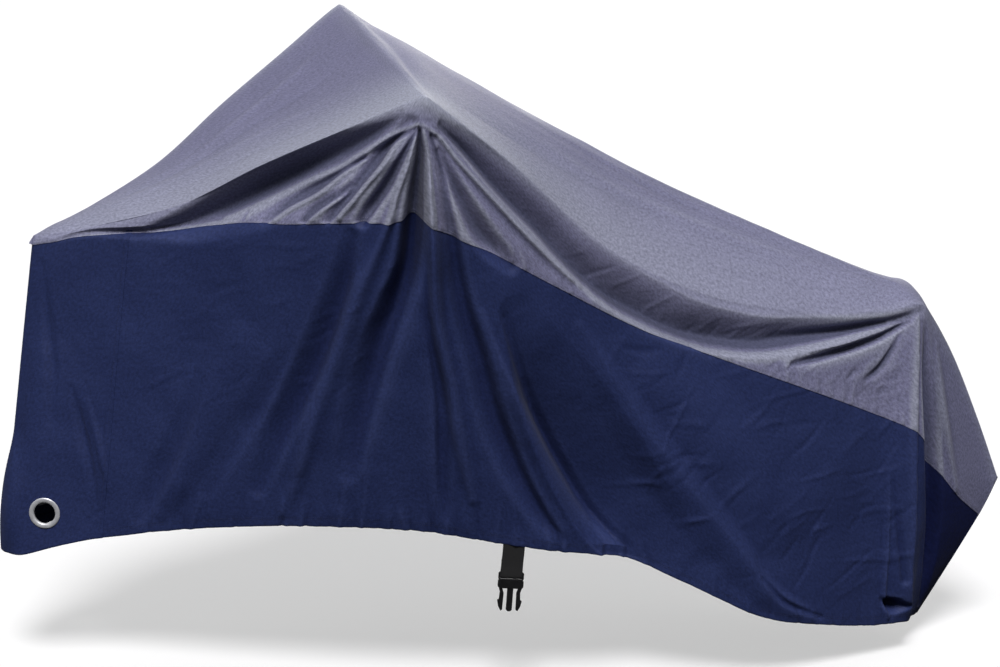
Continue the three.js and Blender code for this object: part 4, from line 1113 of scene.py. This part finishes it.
def strap_line(side):
    """The middle line of a strap, from inside the hem around the bar and up behind, and its way across"""
    centre = np.array(BARS[side]["centre"])
    inward = np.array(BARS[side]["inward"])
    tilt = math.radians(BAR_TILT)
    across = unit(np.cross(inward, [math.sin(tilt), 0, math.cos(tilt)]))
    upright = np.cross(across, inward)
    leg = BAR_HALF_THICK + STRAP_THICK / 2 + LOOP_ROOM
    deep = BAR_HALF + STRAP_THICK / 2 + LOOP_SLACK + LOOP_BEND_Z
    behind = -leg + STRAP_THICK + LEGS_APART
    # Points beside the bar, as the distance to the inside and the height
    loop = [(-leg, 24), (-leg, 10), (-leg, 0), (-leg, LOOP_BEND_Z)]
    loop += [(-leg * math.cos(a), LOOP_BEND_Z - deep * math.sin(a)) for a in np.radians(LOOP_ANGLES)]
    loop += [(leg, 1), (leg, 6), ((leg + behind) / 2, 13), (behind, 20), (behind, 34)]
    sewn = wall(side, np.full(len(SEWN_AT), STRAP_U), np.array(SEWN_AT))[0]
    sewn = sewn + inward * (2 * HEM_ROLL + STRAP_THICK)
    return np.concatenate([sewn, [centre + inward * y + upright * z for y, z in loop]]), across


def strap(name, side):
    """A webbing strap with rounded selvedges, swept along its line"""
    line, across = strap_line(side)
    path = catmull_rom(line, np.linspace(0, len(line) - 1, STRAP_STEPS * (len(line) - 1) + 1))
    out = np.cross(unit(np.gradient(path, axis=0)), across)
    half = STRAP_WIDTH / 2
    section = [(x, STRAP_THICK / 2) for x in np.linspace(-half, half, STRAP_COLUMNS)]
    section += [(half + SELVEDGE, 0)]
    section += [(x, -STRAP_THICK / 2) for x in np.linspace(half, -half, STRAP_COLUMNS)]
    section += [(-half - SELVEDGE, 0)]
    points = np.array([[p + across * x + o * y for x, y in section] for p, o in zip(path, out)])
    rows, around = points.shape[:2]
    faces = tube_faces(rows, around, closed=False)
    faces += [tuple(range(around))[::-1], tuple(range((rows - 1) * around, rows * around))]
    down = lengths_along(path, 0)
    coordinates = np.array([[(x, length) for x, _ in section] for length in down])
    return mesh_object(name, points.reshape(-1, 3), faces, WEBBING, coordinates.reshape(-1, 2))


# Stitches: their size, how proud of the cloth they lie, and where their rows lie: beside the seam, below the
# top of the turned hem, and along the ends of the nose strip. Rows end a little before a panel does.

STITCH_LONG = 3.4
STITCH_APART = 4.6
STITCH_HALF = 0.45
STITCH_RISE = 0.3
SEAM_STITCHES = (LAP - 2.5, -1.5)
HEM_STITCHES = (2, 7)
STRIP_STITCH_U = NOSE_STRIP_END + 0.01
STRIP_STITCH_V = (1.02, 1.985)
STRIP_STITCH_POINTS = 220
STITCHES_BEGIN = 0.05
STITCHES_END = LAST - 0.1


def along_line(values, length, places):
    return np.stack([np.interp(places, length, values[:, axis]) for axis in range(3)], -1)


def stitch_rows(name, lines, material):
    """Small thread stitches along lines of points that lie on the cloth, each with its way out"""
    spindles = []
    for line, out in lines:
        length = lengths_along(line, 0)
        places = np.arange(STITCH_APART, length[-1] - STITCH_APART, STITCH_APART)
        at = along_line(line, length, places)
        run = along_line(line, length, places + STITCH_LONG / 2) - at
        away = along_line(out, length, places) * STITCH_HALF
        wide = np.cross(unit(run), away)
        base = at + away / 2
        ring = [base + wide, base + away, base - wide, base - away]
        spindles.append(np.stack([base - run, *ring, base + run], 1))
    points = np.concatenate(spindles)
    # A spindle has a point at each end and a ring of four between them
    sides = np.array([[0, k % 4 + 1, k] for k in range(1, 5)] + [[5, k, k % 4 + 1] for k in range(1, 5)])
    faces = (6 * np.arange(len(points)))[:, None, None] + sides
    return mesh_object(name, points.reshape(-1, 3), faces.reshape(-1, 3).tolist(), material)


def stitch_line(side, us, vs, rise):
    return wall(side, us, vs, rise)[0], level_way_out(side, us, vs)


def seam_stitches(side):
    us = spaced_lines(STITCHES_BEGIN, STITCHES_END, SPACING)
    rise = LAP_RISE + STITCH_RISE
    return [stitch_line(side, us, part_beside_seam(us, distance), rise) for distance in SEAM_STITCHES]


def hem_stitches(side):
    us = spaced_lines(NOSE_STRIP_END + STRIP_OVERLAP, STITCHES_END, SPACING)
    _, seam, hem = edge_seam_hem(us)
    lower = np.linalg.norm(hem - seam, axis=-1)
    return [stitch_line(side, us, HEM - (HEM_TURN - offset) / lower, STITCH_RISE) for offset in HEM_STITCHES]


def strip_stitches(side):
    vs = np.linspace(*STRIP_STITCH_V, STRIP_STITCH_POINTS)
    return [stitch_line(side, np.full_like(vs, STRIP_STITCH_U), vs, LAP_RISE + STITCH_RISE)]


upper = top_panel()
left_skirt = skirt("skirt_left_cloth", LEFT, SPACING, LEFT_SKIRT_ROWS)
right_skirt = skirt("skirt_right_cloth", RIGHT, RIGHT_SKIRT_SPACING, RIGHT_SKIRT_ROWS)
strip = nose_strip()
left_ring = eyelet_ring("eyelet_left_ring", LEFT)
right_ring = eyelet_ring("eyelet_right_ring", RIGHT)
left_strap = strap("strap_left_webbing", LEFT)
right_strap = strap("strap_right_webbing", RIGHT)
seam_thread = stitch_rows("seam_stitches", seam_stitches(LEFT) + seam_stitches(RIGHT), GREY_THREAD)
left_hem_thread = stitch_rows("hem_stitches_left", hem_stitches(LEFT), NAVY_THREAD)
right_hem_thread = stitch_rows("hem_stitches_right", hem_stitches(RIGHT), NAVY_THREAD)
strip_thread = stitch_rows("strip_stitches", strip_stitches(LEFT) + strip_stitches(RIGHT), NAVY_THREAD)

# The buckle halves show as they are, with moulded edges
for name in ("buckle_plug", "buckle_socket"):
    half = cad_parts[name]
    half.data.materials.clear()
    half.data.materials.append(PLASTIC)
    rounded_edges(half, "moulded_edges", BUCKLE_BEVEL)

for piece, node, slot in (
    (upper, "top_panel", "grey_cloth"),
    (left_skirt, "skirt_left", "navy_cloth"),
    (right_skirt, "skirt_right", "navy_cloth"),
    (strip, "nose_strip", "navy_cloth"),
    (left_ring, "eyelet_left", "bright_metal"),
    (right_ring, "eyelet_right", "bright_metal"),
    (left_strap, "strap_left", "black_webbing"),
    (right_strap, "strap_right", "black_webbing"),
):
    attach(piece, "root")
    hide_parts(node)
for piece, slot in (
    (seam_thread, "grey_cloth"),
    (left_hem_thread, "navy_cloth"),
    (right_hem_thread, "navy_cloth"),
    (strip_thread, "navy_cloth"),
):
    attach(piece, "root")

# Floor, light and camera, in metres

WHITE = (1.0, 1.0, 1.0)
DAYLIGHT = (1.0, 0.99, 1.0)
FLOOR_Z = -1.508
FLOOR_HALF = 2000.0
FLOOR_CORNERS = ((-1, -1), (1, -1), (1, 1), (-1, 1))


def floor():
    """A pale floor that glows a little and does not light the cloth"""
    material, nodes, sockets = new_material("pale_floor")
    cloud = nodes.noise(nodes.body(), scale=0.6, detail=3.0)
    base = nodes.ramp(cloud, 0.3, 0.7, (0.51, 0.51, 0.515, 1), (0.53, 0.53, 0.53, 1))
    nodes.give(sockets, {"Base Color": base, "Roughness": 0.9})
    nodes.give(sockets, {"Emission Color": (*WHITE, 1.0), "Emission Strength": 0.48})
    material.cycles.emission_sampling = "NONE"
    mesh = bpy.data.meshes.new("floor")
    corners = [(x * FLOOR_HALF, y * FLOOR_HALF, FLOOR_Z) for x, y in FLOOR_CORNERS]
    mesh.from_pydata(corners, [], [(0, 1, 2, 3)])
    mesh.materials.append(material)
    piece = add_object("floor", mesh)
    piece.visible_diffuse = False
    piece.visible_glossy = False


def area_light(name, at, aim, size, power):
    light = bpy.data.lights.new(name, "AREA")
    light.shape = "RECTANGLE"
    light.size, light.size_y = size
    light.energy = power
    light.color = WHITE
    lamp = add_object(name, light)
    lamp.location = at
    lamp.rotation_euler = (Vector(aim) - Vector(at)).to_track_quat("-Z", "Y").to_euler()


def sun_light(name, towards, spread, strength):
    light = bpy.data.lights.new(name, "SUN")
    light.energy = strength
    light.angle = math.radians(spread)
    light.color = DAYLIGHT
    lamp = add_object(name, light)
    lamp.rotation_euler = Vector(towards).to_track_quat("Z", "Y").to_euler()


def studio_world():
    """Soft light that is strongest overhead and weak from below"""
    world = bpy.data.worlds.new("studio")
    world.use_nodes = True
    nodes = Nodes(world)
    background = nodes.tree.nodes["Background"].inputs
    height = nodes.part(nodes.add("ShaderNodeTexCoord", "Generated", {}), "Z")
    strength = nodes.span(height, -0.1, 0.7, 0.02, 0.25)
    nodes.give(background, {"Strength": strength, "Color": (*WHITE, 1.0)})
    bpy.context.scene.world = world


floor()
sun_light("overhead", towards=(-0.1, -0.72, 1.0), spread=18, strength=3.0)
sun_light("behind", towards=(0.15, 1.0, 0.12), spread=24, strength=1.1)
area_light("key", at=(-3.6, -4.6, 2.4), aim=(0.1, 0, -0.7), size=(2.0, 2.4), power=10)
studio_world()
bpy.context.scene.view_settings.view_transform = "Standard"

CAMERA_TURN = math.radians(-5)
CAMERA_RISE = math.radians(14)
CAMERA_AWAY = 6.5
CAMERA_AIM = Vector((0.281, 0.0, -0.6956))
SENSOR = 36.0
VIEW_WIDTH = 2.42

camera_data = bpy.data.cameras.new("camera")
camera_data.sensor_width = SENSOR
camera_data.lens = SENSOR * CAMERA_AWAY / VIEW_WIDTH
camera = add_object("camera", camera_data)
back = Vector((
    math.sin(CAMERA_TURN) * math.cos(CAMERA_RISE),
    -math.cos(CAMERA_TURN) * math.cos(CAMERA_RISE),
    math.sin(CAMERA_RISE),
))
camera.location = CAMERA_AIM + back * CAMERA_AWAY
camera.rotation_euler = back.to_track_quat("Z", "Y").to_euler()
bpy.context.scene.camera = camera
